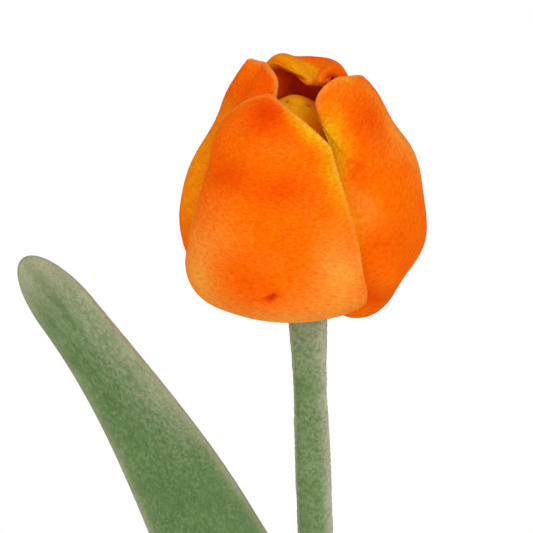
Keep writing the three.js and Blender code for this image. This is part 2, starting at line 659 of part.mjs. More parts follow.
function leafPlace() {
  const turnPerLength = radians(LEAF_END_LEAN_DEG - LEAF_START_LEAN_DEG) / LEAF_LENGTH;
  const arcRadius = 1 / turnPerLength;
  const startLean = radians(LEAF_START_LEAN_DEG);
  const rootX = -(STEM_RADIUS + CLEARANCE + RIM_OFFSET);
  const claspRadius = STEM_RADIUS + 2 * CLEARANCE + RIM_OFFSET + 0.4 * LEAF_SWELL;
  const halfWidthAt = (along) => {
    const fromTip = LEAF_LENGTH - along;
    const swing = (1 - Math.cos((Math.PI * fromTip) / LEAF_WIDEST_FROM_TIP)) / 2;
    const width = LEAF_TIP_HALF_WIDTH + (LEAF_HALF_WIDTH - LEAF_TIP_HALF_WIDTH) * swing;
    return width * rounding(fromTip, LEAF_TIP_ROUND, 2) * rounding(along, LEAF_ROOT_ROUND, 2);
  };
  const onLeaf = (across, along) => {
    const lean = startLean + turnPerLength * along;
    const spine = new THREE.Vector3(
      rootX - arcRadius * (Math.cos(startLean) - Math.cos(lean)), 0,
      arcRadius * (Math.sin(lean) - Math.sin(startLean)));
    const twist = radians(LEAF_TWIST_DEG) * smoothstep(0.1 * LEAF_TWIST_LENGTH, LEAF_TWIST_LENGTH, along);
    const forward = new THREE.Vector3(0, -1, 0);
    const inward = new THREE.Vector3(Math.cos(lean), 0, Math.sin(lean));
    const lateral = forward.clone().multiplyScalar(Math.cos(twist)).addScaledVector(inward, -Math.sin(twist));
    const normal = inward.clone().multiplyScalar(Math.cos(twist)).addScaledVector(forward, Math.sin(twist));
    const clasp = Math.exp(-((along / LEAF_CLASP_LENGTH) ** 2));
    const curvature = clasp / claspRadius + (1 - clasp) / LEAF_CUP_RADIUS;
    // The cross-section bends by a quarter turn at most, and its arms run straight on from there.
    const turn = Math.min(Math.abs(across) * curvature, Math.PI / 2);
    const arm = Math.abs(across) - turn / curvature;
    const sideways = Math.sin(turn) / curvature + arm * Math.cos(turn);
    return spine
      .addScaledVector(lateral, Math.sign(across) * sideways)
      .addScaledVector(normal, (1 - Math.cos(turn)) / curvature + arm * Math.sin(turn));
  };
  const place = (ring, angle, offset) => {
    const [across, along] = padOutline(angle, LEAF_LENGTH, halfWidthAt);
    const u = ring * across;
    const v = LEAF_LENGTH / 2 + ring * (along - LEAF_LENGTH / 2);
    const step = 0.05;
    const sideways = onLeaf(u + step, v).sub(onLeaf(u - step, v));
    const upwards = onLeaf(u, v + step).sub(onLeaf(u, v - step));
    return onLeaf(u, v).addScaledVector(sideways.cross(upwards).normalize(), offset);
  };
  return place;
}

function buildLeaf() {
  const place = leafPlace();
  const layers = sewnPad(place, LEAF_SWELL, LEAF_SWELL, 36);
  // The wire lies in a groove in the wadding, along the back panel.
  const wirePath = (reach, radius) => {
    const count = 12;
    const points = [];
    for (let i = -count; i <= count; i++) {
      const ring = (reach * Math.abs(i)) / count;
      const depth = EDGE + LEAF_SWELL * pillow(ring) - CLEARANCE - LEAF_WIRE_RADIUS;
      points.push(place(ring, i < 0 ? 0 : Math.PI, -depth));
    }
    return wireAlong(new THREE.CatmullRomCurve3(points), radius, 2 * count);
  };
  const grooveReach = LEAF_WIRE_REACH + (2 * 2 * CLEARANCE) / LEAF_LENGTH;
  const groove = wirePath(grooveReach, LEAF_WIRE_RADIUS + CLEARANCE);
  return [
    named("leaf_face", layers.face, GREEN_PLUSH),
    named("leaf_back", layers.lining, GREEN_PLUSH),
    named("leaf_wadding", cut(layers.wadding, groove), WADDING),
    named("leaf_wire", wirePath(LEAF_WIRE_REACH, LEAF_WIRE_RADIUS), COATED_WIRE),
  ];
}

// Assembly

const tulip = new THREE.Group();

const foot = named("stem_foot_disc", footDisc(), GREEN_PLUSH);
tulip.add(foot, ...stemLength("lower", 0, BEND_HEIGHT, false));

const leaf = new THREE.Group();
leaf.position.z = LEAF_HEIGHT;
leaf.add(...buildLeaf());
tulip.add(leaf);

const upperStem = new THREE.Group();
upperStem.position.z = BEND_HEIGHT;
upperStem.rotation.y = radians(BEND_LEAN_DEG);
const upperLength = (STEM_LENGTH - BEND_HEIGHT) / Math.cos(radians(BEND_LEAN_DEG));
const upperPieces = stemLength("upper", BEND_HEIGHT, BEND_HEIGHT + upperLength, true);
for (const piece of upperPieces) piece.position.z = -BEND_HEIGHT;
upperStem.add(...upperPieces);
tulip.add(upperStem);

const head = new THREE.Group();
head.position.set(upperLength * Math.sin(radians(BEND_LEAN_DEG)), 0, STEM_LENGTH);
head.rotation.y = radians(BEND_LEAN_DEG + NECK_LEAN_DEG);
head.add(named("head_base_disc", baseDisc(), ORANGE_PLUSH));
head.add(named("bud_wire", budWire(), COATED_WIRE));
head.add(...buildBud());
for (const key of Object.keys(PETALS)) head.add(...buildPetal(key));
tulip.add(head);

export default tulip;
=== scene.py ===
"""Plush tulip: the looks of a sewn flower of short plush on a bendable stem, built round its solids.

Sizes are in millimetres and turn to metres where a mesh is made, and the room's are in metres. The order
is that of the toy: stem and foot, wires, leaf, neck, bud and petals, and then the room where it is seen.
"""
import math

import bpy
import numpy as np
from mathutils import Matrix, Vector


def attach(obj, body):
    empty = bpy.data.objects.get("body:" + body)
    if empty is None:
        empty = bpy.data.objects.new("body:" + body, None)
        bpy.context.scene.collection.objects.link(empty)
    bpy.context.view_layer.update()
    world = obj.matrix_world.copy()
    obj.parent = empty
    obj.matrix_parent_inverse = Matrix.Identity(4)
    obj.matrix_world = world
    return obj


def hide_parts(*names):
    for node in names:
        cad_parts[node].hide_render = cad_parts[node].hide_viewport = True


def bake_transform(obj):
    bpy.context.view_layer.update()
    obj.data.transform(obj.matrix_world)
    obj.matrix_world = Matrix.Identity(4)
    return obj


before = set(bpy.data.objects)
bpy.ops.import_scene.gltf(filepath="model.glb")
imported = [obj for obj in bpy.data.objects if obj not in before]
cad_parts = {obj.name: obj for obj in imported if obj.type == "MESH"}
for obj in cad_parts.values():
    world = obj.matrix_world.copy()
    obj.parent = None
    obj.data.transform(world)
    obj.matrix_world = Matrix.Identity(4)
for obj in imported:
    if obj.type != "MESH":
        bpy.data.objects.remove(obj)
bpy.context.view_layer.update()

# Stem cover. A strip of short green plush is sewn to a tube up its back, turned, and pulled over a sleeve
# of wadding with a bendable wire in it. The wire holds a slight bend above the leaf, and the tube widens
# where it meets the flower head. The pile stands in clumps, with painted shade between them.
MM = 0.001
PILE = 1.2  # height of the plush, from its backing to the ends of its pile
BRUSHED_PATCH = 11  # across an area whose pile was brushed one way
STEM_RADIUS = 6.3
STEM_LENGTH = 300
STEM_BEND = 200
STEM_LEAN = math.radians(2.1)
STEM_BEND_SPREAD = 5  # the bend's corner is rounded over this height
STEM_WAIST = (0.45, 264, 13)  # thinner by, at a height, over a length
STEM_FLARE = (0.75, 272, 298)  # wider by, from one height to another
STEM_EDGE = (0.5, 1.6)  # drawn in by, up to a height, where the foot round is sewn on
COVER_START = 0.9  # height of the cover's lower end
SEAM_TURN = 0.10  # half the width of the seam's furrow, as an angle round the stem
STITCH_PITCH = 2.6
STEM_CLUMP = 0.8  # across a clump of pile
STEM_COLUMNS = 112
STEM_ROWS = 760


def smooth(low, high, x):
    """0 up to low, 1 from high, and t * t * (3 - 2 t) between them, with t = (x - low) / (high - low)."""
    t = np.clip((x - low) / (high - low), 0, 1)
    return t * t * (3 - 2 * t)


def hump(x, middle, width):
    """A soft bump of height 1: exp(-((x - middle) / width)^2)."""
    return np.exp(-(((x - middle) / width) ** 2))


def clumps(points, cell, seed):
    """Smooth noise from -1 to 1. Each corner of a grid of cells has a random value, from a block of 32 cells
    a side that repeats, and a point blends the eight values round it by t * t * (3 - 2 t) along each axis.
    The points are first moved by 1000 cells, so that none is below 0."""
    table = np.random.default_rng(seed).uniform(-1, 1, (32, 32, 32))
    place = np.asarray(points) / cell + 1000.0
    low = np.floor(place).astype(int)
    t = place - low
    t = t * t * (3 - 2 * t)
    total = np.zeros(place.shape[:-1])
    for corner in np.ndindex(2, 2, 2):
        index = (low + corner) % 32
        weight = np.prod(np.where(np.array(corner) == 1, t, 1 - t), axis=-1)
        total += weight * table[index[..., 0], index[..., 1], index[..., 2]]
    return total


def linear(code):
    """An sRGB hex colour as linear RGBA: c / 12.92 up to 0.04045, ((c + 0.055) / 1.055)^2.4 above it."""
    levels = [int(code[i:i + 2], 16) / 255 for i in (1, 3, 5)]
    return [c / 12.92 if c <= 0.04045 else ((c + 0.055) / 1.055) ** 2.4 for c in levels] + [1.0]


def add_node(tree, kind, settings=None, links=None):
    """Adds a shader node. A setting is an attribute of the node or the value of an input, and a link is
    from another node's output to an input. Inputs go by name or number."""
    node = tree.nodes.new(kind)
    for key, value in (settings or {}).items():
        if isinstance(key, str) and hasattr(node, key):
            setattr(node, key, value)
        else:
            node.inputs[key].default_value = value
    for key, output in (links or {}).items():
        tree.links.new(output, node.inputs[key])
    return node


def plush_finish(name, pile, tones, clump_mm, depth, sheen, sheen_tint, stroke=0.5, relief=0.6,
                 spectrum=(1, 1, 1)):
    """Short-pile polyester plush, a knitted backing with sheared fibres that stand up from it. It is dull
    head on, paler at a glancing angle, and mottled where its pile was brushed another way.

    The colour starts from pile and mixes in each tone (attribute, colour) by that attribute of the mesh.
    It is then scaled by 1 + level * spectrum for red, green and blue, where level is the sum of two noises:
    fibre clumps of clump_mm, up to depth and stretched along the nap by 1 / stroke, and broad brushed
    patches. The clumps also stand out as bumps, with the strength relief."""
    material = bpy.data.materials.new(name)
    material.use_nodes = True
    tree = material.node_tree
    shader = tree.nodes["Principled BSDF"]
    colour = add_node(tree, "ShaderNodeRGB")
    colour.outputs[0].default_value = linear(pile)
    colour = colour.outputs[0]
    for attribute, tone in tones:
        strength = add_node(tree, "ShaderNodeAttribute", {"attribute_name": attribute})
        mix = add_node(tree, "ShaderNodeMix", {"data_type": "RGBA", 7: linear(tone)},
                       {0: strength.outputs["Fac"], 6: colour})
        colour = mix.outputs[2]
    nap = add_node(tree, "ShaderNodeAttribute", {"attribute_name": "nap"})
    along_nap = add_node(tree, "ShaderNodeMapping", {"Scale": (1.0, stroke, 1.0)},
                         {0: nap.outputs["Vector"]})
    fibres = add_node(tree, "ShaderNodeTexNoise",
                      {"Scale": 1 / (clump_mm * MM), "Detail": 3.0, "Roughness": 0.62, "Distortion": 0.6},
                      {0: along_nap.outputs[0]})
    place = add_node(tree, "ShaderNodeTexCoord")
    patches = add_node(tree, "ShaderNodeTexNoise",
                       {"Scale": 1 / (BRUSHED_PATCH * MM), "Detail": 2.0, "Roughness": 0.5},
                       {0: place.outputs["Object"]})
    # Both noises lie mostly between 0.3 and 0.7.
    fibre_level = add_node(tree, "ShaderNodeMapRange", {1: 0.3, 2: 0.7, 3: -depth, 4: depth},
                           {0: fibres.outputs["Fac"]})
    patch_level = add_node(tree, "ShaderNodeMapRange", {1: 0.3, 2: 0.7, 3: -0.06, 4: 0.06},
                           {0: patches.outputs["Fac"]})
    level = add_node(tree, "ShaderNodeMath", {"operation": "ADD"},
                     {0: fibre_level.outputs[0], 1: patch_level.outputs[0]})
    scales = add_node(tree, "ShaderNodeVectorMath",
                      {"operation": "MULTIPLY_ADD", 0: spectrum, 2: (1, 1, 1)}, {1: level.outputs[0]})
    mottled = add_node(tree, "ShaderNodeVectorMath", {"operation": "MULTIPLY"},
                       {0: colour, 1: scales.outputs[0]})
    tree.links.new(mottled.outputs[0], shader.inputs["Base Color"])
    bumps = add_node(tree, "ShaderNodeBump", {"Strength": relief, "Distance": 0.16 * clump_mm * MM},
                      {"Height": fibres.outputs["Fac"]})
    tree.links.new(bumps.outputs[0], shader.inputs["Normal"])
    shader.inputs["Roughness"].default_value = 0.95
    shader.inputs["Specular IOR Level"].default_value = 0.03
    shader.inputs["Sheen Weight"].default_value = sheen
    shader.inputs["Sheen Roughness"].default_value = 0.45
    shader.inputs["Sheen Tint"].default_value = linear(sheen_tint)
    return material


def make_piece(name, points, faces, cloth, cloth_faces, tones, material, caps=()):
    """A smooth mesh in metres from points in mm and quads, with flat caps closing its ends. cloth holds,
    for each corner of cloth_faces, its place on the flat cloth in mm, which gives the mesh its map."""
    mesh = bpy.data.meshes.new(name)
    corners = np.concatenate([faces.ravel(), *caps]).astype(np.int32)
    sizes = np.array([4] * len(faces) + [len(cap) for cap in caps])
    mesh.vertices.add(len(points))
    mesh.vertices.foreach_set("co", (points * MM).astype(np.float32).ravel())
    mesh.loops.add(len(corners))
    mesh.loops.foreach_set("vertex_index", corners)
    mesh.polygons.add(len(sizes))
    mesh.polygons.foreach_set("loop_start", (np.cumsum(sizes) - sizes).astype(np.int32))
    low = cloth.min(0)
    span = (cloth.max(0) - low).max()
    spots = np.concatenate([cloth[cloth_faces.ravel()], np.zeros((len(corners) - faces.size, 2)) + low])
    cloth_map = mesh.uv_layers.new(name="OFBake")
    cloth_map.uv.foreach_set("vector", (0.01 + 0.98 * (spots - low) / span).astype(np.float32).ravel())
    for key, values in tones.items():
        kind = "FLOAT" if values.ndim == 1 else "FLOAT_VECTOR"
        layer = mesh.attributes.new(key, kind, "POINT")
        layer.data.foreach_set("value" if kind == "FLOAT" else "vector", values.astype(np.float32).ravel())
    mesh.update(calc_edges=True)
    mesh.validate()
    mesh.polygons.foreach_set("use_smooth", np.ones(len(mesh.polygons), bool))
    mesh.materials.append(material)
    made = bpy.data.objects.new(name, mesh)
    bpy.context.scene.collection.objects.link(made)
    return made


def tube_faces(rows, columns):
    """Quads of a tube of rows of points that close on themselves, and the same quads on the cloth before
    it is sewn, which has one more column."""
    i, j = np.meshgrid(np.arange(rows - 1), np.arange(columns), indexing="ij")
    wrap = (j + 1) % columns
    below, above = i * columns, (i + 1) * columns
    faces = np.stack([below + j, below + wrap, above + wrap, above + j], -1)
    below, above = i * (columns + 1), (i + 1) * (columns + 1)
    flat = np.stack([below + j, below + j + 1, above + j + 1, above + j], -1)
    return faces.reshape(-1, 4), flat.reshape(-1, 4)


def stem_line(height):
    """The middle of the stem: upright, and from the bend on x = -tan(lean) * d, with the corner rounded by
    d = (h + sqrt(h^2 + spread^2)) / 2 for a height h above the bend."""
    above = height - STEM_BEND
    along = (above + np.sqrt(above ** 2 + STEM_BEND_SPREAD ** 2)) / 2
    return -math.tan(STEM_LEAN) * along


def stem_radius(height):
    """The tube's radius: thinner at a waist under the head, wider at a flare against the petals, and drawn
    in at its lower edge."""
    thinner, waist_height, waist_length = STEM_WAIST
    wider, flare_from, flare_to = STEM_FLARE
    drawn_in, drawn_up_to = STEM_EDGE
    waist = thinner * hump(height, waist_height, waist_length)
    flare = wider * smooth(flare_from, flare_to, height)
    return STEM_RADIUS - waist + flare - drawn_in * (1 - smooth(0, drawn_up_to, height))


heights = np.linspace(COVER_START, STEM_LENGTH + PILE, STEM_ROWS)[:, None]
# The sewn-up edge is at the back, so the cloth starts and ends there.
turns = np.linspace(-math.pi, math.pi, STEM_COLUMNS + 1)[None, :]
radii = stem_radius(heights) + 0 * turns
centre = stem_line(heights) + 0 * turns
surface = np.stack([centre + radii * np.sin(turns), -radii * np.cos(turns), heights + 0 * turns], -1)
out = np.stack([np.sin(turns) + 0 * heights, -np.cos(turns) + 0 * heights, 0 * radii], -1)
seam = hump(np.abs(turns), math.pi, SEAM_TURN) + 0 * heights
stitches = seam * (0.5 + 0.5 * np.cos(2 * math.pi * heights / STITCH_PITCH))
pile = clumps(surface, STEM_CLUMP, 11)
# The wadding's lumps are 4 and 11 mm across.
swell = clumps(surface, 4.2, 12) + 0.6 * clumps(surface, 11, 13)
# Each part of the relief stands out or lies in by so many millimetres.
relief = 0.17 * pile + 0.12 * swell - 0.42 * seam - 0.18 * stitches
surface = surface + out * relief[..., None]
faces, flat_faces = tube_faces(STEM_ROWS, STEM_COLUMNS)
flat = np.stack(np.broadcast_arrays(turns * STEM_RADIUS, heights), -1).reshape(-1, 2)
closed = (slice(None), slice(0, STEM_COLUMNS))
# Painted light: the pile is painted paler down the right side, which faces the key lamp, and down part of
# the left one, as painted sheen at that edge.
lit_side = smooth(0.1, 1.35, turns) * (1 - smooth(2.5, 3.1, turns)) + 0.75 * smooth(0.9, 1.5, -turns)
stem_tones = {
    "nap": np.stack([turns * STEM_RADIUS * MM + 0 * heights, heights * MM + 0 * turns, 0 * radii], -1),
    # Painted shade between the clumps of pile and in the dips of the seam's stitches.
    "deep": np.clip(0.05 - 0.35 * pile, 0, 1) + 0.5 * stitches,
    "pale_pile_and_light": np.clip(0.06 + 0.98 * lit_side + 0.08 * swell + 0.16 * pile
                     + 0.30 * smooth(265, 290, heights), 0, 1),
}
SHORT_GREEN_PLUSH = plush_finish(
    "short-pile plush, sage green", "#678250", [("pale_pile_and_light", "#b4b398"), ("deep", "#506a3e")],
    clump_mm=0.42, depth=0.26, sheen=0.2, sheen_tint="#d9d2b8", stroke=0.6)
stem_cover = make_piece(
    "stem_cover", surface[closed].reshape(-1, 3), faces, flat, flat_faces,
    {key: values[closed].reshape(-1, *values.shape[2:]) for key, values in stem_tones.items()},
    SHORT_GREEN_PLUSH,
    caps=[np.arange(STEM_COLUMNS)[::-1], np.arange(STEM_COLUMNS) + (STEM_ROWS - 1) * STEM_COLUMNS])
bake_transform(stem_cover)
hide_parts("stem_cover_lower", "stem_cover_upper", "stem_wadding_lower", "stem_wadding_upper")

# Foot round. A small round of the same plush closes the stem's lower end, sewn on by hand, so its edge
# dips at each stitch. The toy stands on it.
FOOT_THICKNESS = 1.2
FOOT_MIDDLE = 0.5  # height at which its two sides meet
FOOT_INSET = 0.15  # from the stem's edge
FOOT_ROUND = 0.14  # share of its radius over which its edge is rounded
FOOT_STITCHES = 16
FOOT_CELLS = 44


def disc_grid(cells):
    """A square grid bent to a disc, as (ring, angle) for each of its points. The ring is max(|a|, |b|), and
    the angle goes evenly along each side: 0 towards -b, a right angle towards +a, and pi towards +b."""
    side = np.linspace(-1, 1, cells + 1)
    b, a = np.meshgrid(side, side, indexing="ij")
    ring = np.maximum(np.abs(a), np.abs(b))
    safe = np.maximum(ring, 1e-9)
    quarter = math.pi / 4
    angle = np.where(
        np.abs(b) >= np.abs(a),
        np.where(b < 0, quarter * a / safe, math.pi - quarter * a / safe),
        np.where(a > 0, math.pi / 2 + quarter * b / safe, -math.pi / 2 - quarter * b / safe))
    return ring, np.where(angle > math.pi, angle - 2 * math.pi, angle)


def pad_faces(cells):
    """Quads of two square grids that share their border, one for each side of a pad. Returns the quads,
    the numbers of the points kept, and the quads on the two flat cloths, whose borders are apart."""
    side = cells + 1
    number = np.arange(side * side).reshape(side, side)
    corners = [number[:-1, :-1], number[:-1, 1:], number[1:, 1:], number[1:, :-1]]
    quads = np.stack(corners, -1).reshape(-1, 4)
    inner = np.zeros((side, side), bool)
    inner[1:-1, 1:-1] = True
    lower = number.copy()
    lower[inner] = side * side + np.arange((side - 2) ** 2)
    both = np.concatenate([quads, lower.ravel()[quads[:, ::-1]]])
    kept = np.concatenate([np.arange(side * side), side * side + np.flatnonzero(inner)])
    return both, kept, np.concatenate([quads, side * side + quads[:, ::-1]])


def make_pad(name, upper, lower, cells, cloth_size, tones, material):
    """A closed piece from the outer and the inner side of a pad, each given on a disc grid. The two flat
    cloths lie side by side on the map."""
    faces, kept, flat_faces = pad_faces(cells)
    points = np.concatenate([upper.reshape(-1, 3), lower.reshape(-1, 3)])[kept]
    side = np.linspace(-0.5, 0.5, cells + 1)
    b, a = np.meshgrid(side, side, indexing="ij")
    flat = np.stack([a * cloth_size[0], b * cloth_size[1]], -1).reshape(-1, 2)
    flat = np.concatenate([flat, flat + [cloth_size[0] + 1, 0]])
    values = {}
    for key, sides in tones.items():
        both = np.concatenate([tone.reshape(len(flat) // 2, -1) for tone in sides])
        values[key] = both[kept].squeeze()
    return make_piece(name, points, faces, flat, flat_faces, values, material)


ring, angle = disc_grid(FOOT_CELLS)
stitched = 0.22 * hump(ring, 0.9, 0.06) * (0.5 + 0.5 * np.cos(FOOT_STITCHES * angle))
foot_radius = (STEM_RADIUS - FOOT_INSET) * ring
edge = np.sqrt(np.clip(1 - np.clip((ring - 1 + FOOT_ROUND) / FOOT_ROUND, 0, 1) ** 2, 0, 1))
across = np.stack([foot_radius * np.sin(angle), -foot_radius * np.cos(angle)], -1)
top_height = FOOT_MIDDLE + (FOOT_THICKNESS - FOOT_MIDDLE) * edge - stitched
top = np.concatenate([across, top_height[..., None]], -1)
base = np.concatenate([across, (FOOT_MIDDLE - FOOT_MIDDLE * edge)[..., None]], -1)
nap = np.concatenate([across * MM, 0 * ring[..., None]], -1)
# The dips at the stitches are painted darker, as shade.
foot_tones = {"nap": (nap, nap), "deep": (2 * stitched, 0 * ring),
              "pale_pile_and_light": (0.2 + 0 * ring, 0.2 + 0 * ring)}
foot_round = make_pad("stem_foot_round", top, base, FOOT_CELLS, (2 * STEM_RADIUS, 2 * STEM_RADIUS),
                      foot_tones, SHORT_GREEN_PLUSH)
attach(foot_round, "stem_lower")
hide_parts("stem_foot_disc")

# Wires. Soft steel wire in a thin coat of grey plastic runs up the stem and into the bud, and a thinner
# one lies in the leaf. Both keep the bend that they are given. The stem's ends in a ring at its foot and
# in the bud, so that it can't poke out.
COATED_WIRE = bpy.data.materials.new("plastic-coated steel wire, grey")
COATED_WIRE.use_nodes = True
wire_tree = COATED_WIRE.node_tree
wire_shader = wire_tree.nodes["Principled BSDF"]
wire_place = add_node(wire_tree, "ShaderNodeTexCoord")
# The coat is drawn on in one pass and picks up dust and small marks about 2 mm long.
marks = add_node(wire_tree, "ShaderNodeTexNoise", {"Scale": 1 / (2 * MM), "Detail": 4.0},
                 {0: wire_place.outputs["Object"]})
coat = add_node(wire_tree, "ShaderNodeMix",
                {"data_type": "RGBA", 6: linear("#a9adad"), 7: linear("#c6c9c8")},
                {0: marks.outputs["Fac"]})
gloss = add_node(wire_tree, "ShaderNodeMapRange", {3: 0.35, 4: 0.55}, {0: marks.outputs["Fac"]})
wire_tree.links.new(coat.outputs[2], wire_shader.inputs["Base Color"])
wire_tree.links.new(gloss.outputs[0], wire_shader.inputs["Roughness"])
for node_name in ("stem_wire_lower", "stem_wire_upper", "leaf_wire", "bud_wire"):
    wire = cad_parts[node_name]
    wire.data.materials.clear()
    wire.data.materials.append(COATED_WIRE)

# Leaf. A long flat pad of the same green plush: face and back are sewn together round the edge, turned,
# and filled with a thin layer of wadding and the wire. Its root is folded round the stem and sewn there;
# further out the blade turns to face the front, and its tip is gathered where the turned seam is full.
LEAF_HEIGHT = 125  # where its root is sewn to the stem
LEAF_LENGTH = 213
LEAF_HALF_WIDTH = 20.3
LEAF_TIP_HALF_WIDTH = 10.1
LEAF_WIDEST_FROM_TIP = 150
LEAF_TIP_ROUND = 24
LEAF_ROOT_ROUND = 12
LEAF_LEANS = (math.radians(14.5), math.radians(39))
LEAF_TWIST = math.radians(90)
LEAF_TWIST_LENGTH = 95
LEAF_CLASP_LENGTH = 30
LEAF_CUP_RADIUS = 70
LEAF_SWELL = 1.7
LEAF_PLEATS = 17
LEAF_CLUMP = 0.7
LEAF_LIT_SPAN = (105, 165)  # the painted light on the right part comes in between these lengths from the root
LEAF_CELLS = 210
CLEARANCE = 0.3  # air between two pads, and between a pad and the stem
SEAM_GAP = 0.15  # each cloth stands this far off the pad's middle at the seam
SEAM_FURROW = 1.9  # a furrow follows a turned seam this far inside it
SETTLE_FRAMES = 20
SETTLE_SCALE = 0.02  # a pad is simulated 20 times as large as it is, where the solver is steadier
SETTLE_FULLNESS = 0.006  # share by which the cloth is cut larger


def pillow(ring):
    """How full a pad is: (1 - ring^2)^0.62, so 1 in its middle and 0 at its seam."""
    return np.clip(1 - ring * ring, 0, 1) ** 0.62


def rounding(distance, length, power):
    """Rounds the end of an outline: (1 - (1 - d)^power)^(1 / power), with d = distance / length up to 1."""
    left = 1 - np.clip(distance / length, 0, 1)
    return (1 - left ** power) ** (1 / power)


def pad_outline(angle, length, half_width):
    """The seam line of a pad as (across, along): along = length (1 - cos(angle)) / 2, and across is the
    half width there, on the right for a positive angle."""
    along = length * (1 - np.cos(np.abs(angle))) / 2
    side = np.where(angle >= 0, 1.0, -1.0)
    return side * half_width(along, side), along


def offset_out(sheet, u, v, offset):
    """The point of a sheet at (u, v), moved off it along its normal, which is the cross product of the
    sheet's two tangents, taken over 0.05 to either side."""
    step = 0.05
    across = sheet(u + step, v) - sheet(u - step, v)
    along = sheet(u, v + step) - sheet(u, v - step)
    normal = np.cross(across, along)
    normal /= np.linalg.norm(normal, axis=-1, keepdims=True)
    return sheet(u, v) + normal * offset[..., None]


def turned_edge(rim):
    """Half the thickness of the two cloths near a turned seam: a quarter circle whose radius is that of
    one cloth and its gap, from 0 on the seam itself; rim is the distance to the seam."""
    full = SEAM_GAP + PILE
    near = 1 - np.clip(rim / full, 0, 1)
    return full * np.sqrt(np.clip(1 - near * near, 0, 1))


def spread(values, step):
    """A uniform cubic B-spline that follows the rows of an array, with step - 1 new rows between two of
    them. It smooths them a little, so it passes near them and not through them."""
    place = np.arange((len(values) - 1) * step + 1) / step
    index = np.minimum(place.astype(int), len(values) - 2)
    t = (place - index)[:, None, None]
    padded = np.concatenate([values[:1], values, values[-1:]])
    weights = ((1 - t) ** 3, 3 * t ** 3 - 6 * t ** 2 + 4, 1 + 3 * t + 3 * t ** 2 - 3 * t ** 3, t ** 3)
    return sum(weight * padded[index + k] for k, weight in enumerate(weights)) / 6


def settle(name, upper, lower, step, cap):
    """Swells a sewn pad as cloth. Every step-th point of its two sides makes a mesh whose cloth is cut
    larger by SETTLE_FULLNESS and is held at the seam, and it runs under pressure with no gravity. A point
    that moved by d moves by cap * tanh(d / cap), and those between follow."""
    count = (len(upper) - 1) // step
    faces, kept, _ = pad_faces(count)
    points = np.concatenate([side[::step, ::step].reshape(-1, 3) for side in (upper, lower)])[kept]
    mesh = bpy.data.meshes.new(name + "_cloth")
    mesh.from_pydata((points * SETTLE_SCALE).tolist(), [], faces.tolist())
    pad = bpy.data.objects.new(name + "_cloth", mesh)
    bpy.context.scene.collection.objects.link(pad)
    inner = np.zeros((count + 1, count + 1), bool)
    inner[1:-1, 1:-1] = True
    held = pad.vertex_groups.new(name="seam")
    held.add([int(i) for i in np.flatnonzero(~inner)], 1.0, "REPLACE")
    cloth = pad.modifiers.new("cloth", "CLOTH")
    cloth.point_cache.frame_start, cloth.point_cache.frame_end = 1, SETTLE_FRAMES
    cloth.settings.vertex_group_mass = "seam"
    cloth.settings.use_pressure = True
    cloth.settings.uniform_pressure_force = 1
    cloth.settings.shrink_min = -SETTLE_FULLNESS
    cloth.settings.effector_weights.gravity = 0
    for number in range(1, SETTLE_FRAMES + 1):
        bpy.context.scene.frame_set(number)
    settled = pad.evaluated_get(bpy.context.evaluated_depsgraph_get()).to_mesh()
    found = np.empty(3 * len(points), np.float32)
    settled.vertices.foreach_get("co", found)
    moves = found.reshape(-1, 3) / SETTLE_SCALE - points
    bpy.data.objects.remove(pad)
    bpy.data.meshes.remove(mesh)
    bpy.context.scene.frame_set(1)
    far = np.linalg.norm(moves, axis=-1, keepdims=True)
    moves *= cap * np.tanh(far / cap) / np.maximum(far, 1e-9)
    both = np.zeros((2 * (count + 1) ** 2, 3))
    both[kept] = moves
    # The moves fade out over the last of the mesh's cells before the seam.
    near_seam = np.clip((1 - disc_grid(count * step)[0]) * count / 2, 0, 1)[..., None]
    return tuple(side + near_seam * spread(spread(move, step).swapaxes(0, 1), step).swapaxes(0, 1)
                 for side, move in zip((upper, lower), both.reshape(2, count + 1, count + 1, 3)))


def leaf_half_width(along, side):
    """Half the leaf's width, the same on both sides: half a cosine wave, to the power 1.2, between the
    tip's and the widest one, rounded at both ends. The tip is a little fuller than the CAD solid's, as the
    photograph shows it."""
    from_tip = LEAF_LENGTH - along
    swing = ((1 - np.cos(math.pi * from_tip / LEAF_WIDEST_FROM_TIP)) / 2) ** 1.2
    width = LEAF_TIP_HALF_WIDTH + (LEAF_HALF_WIDTH - LEAF_TIP_HALF_WIDTH) * swing
    return width * rounding(from_tip, LEAF_TIP_ROUND, 2) * rounding(along, LEAF_ROOT_ROUND, 2)


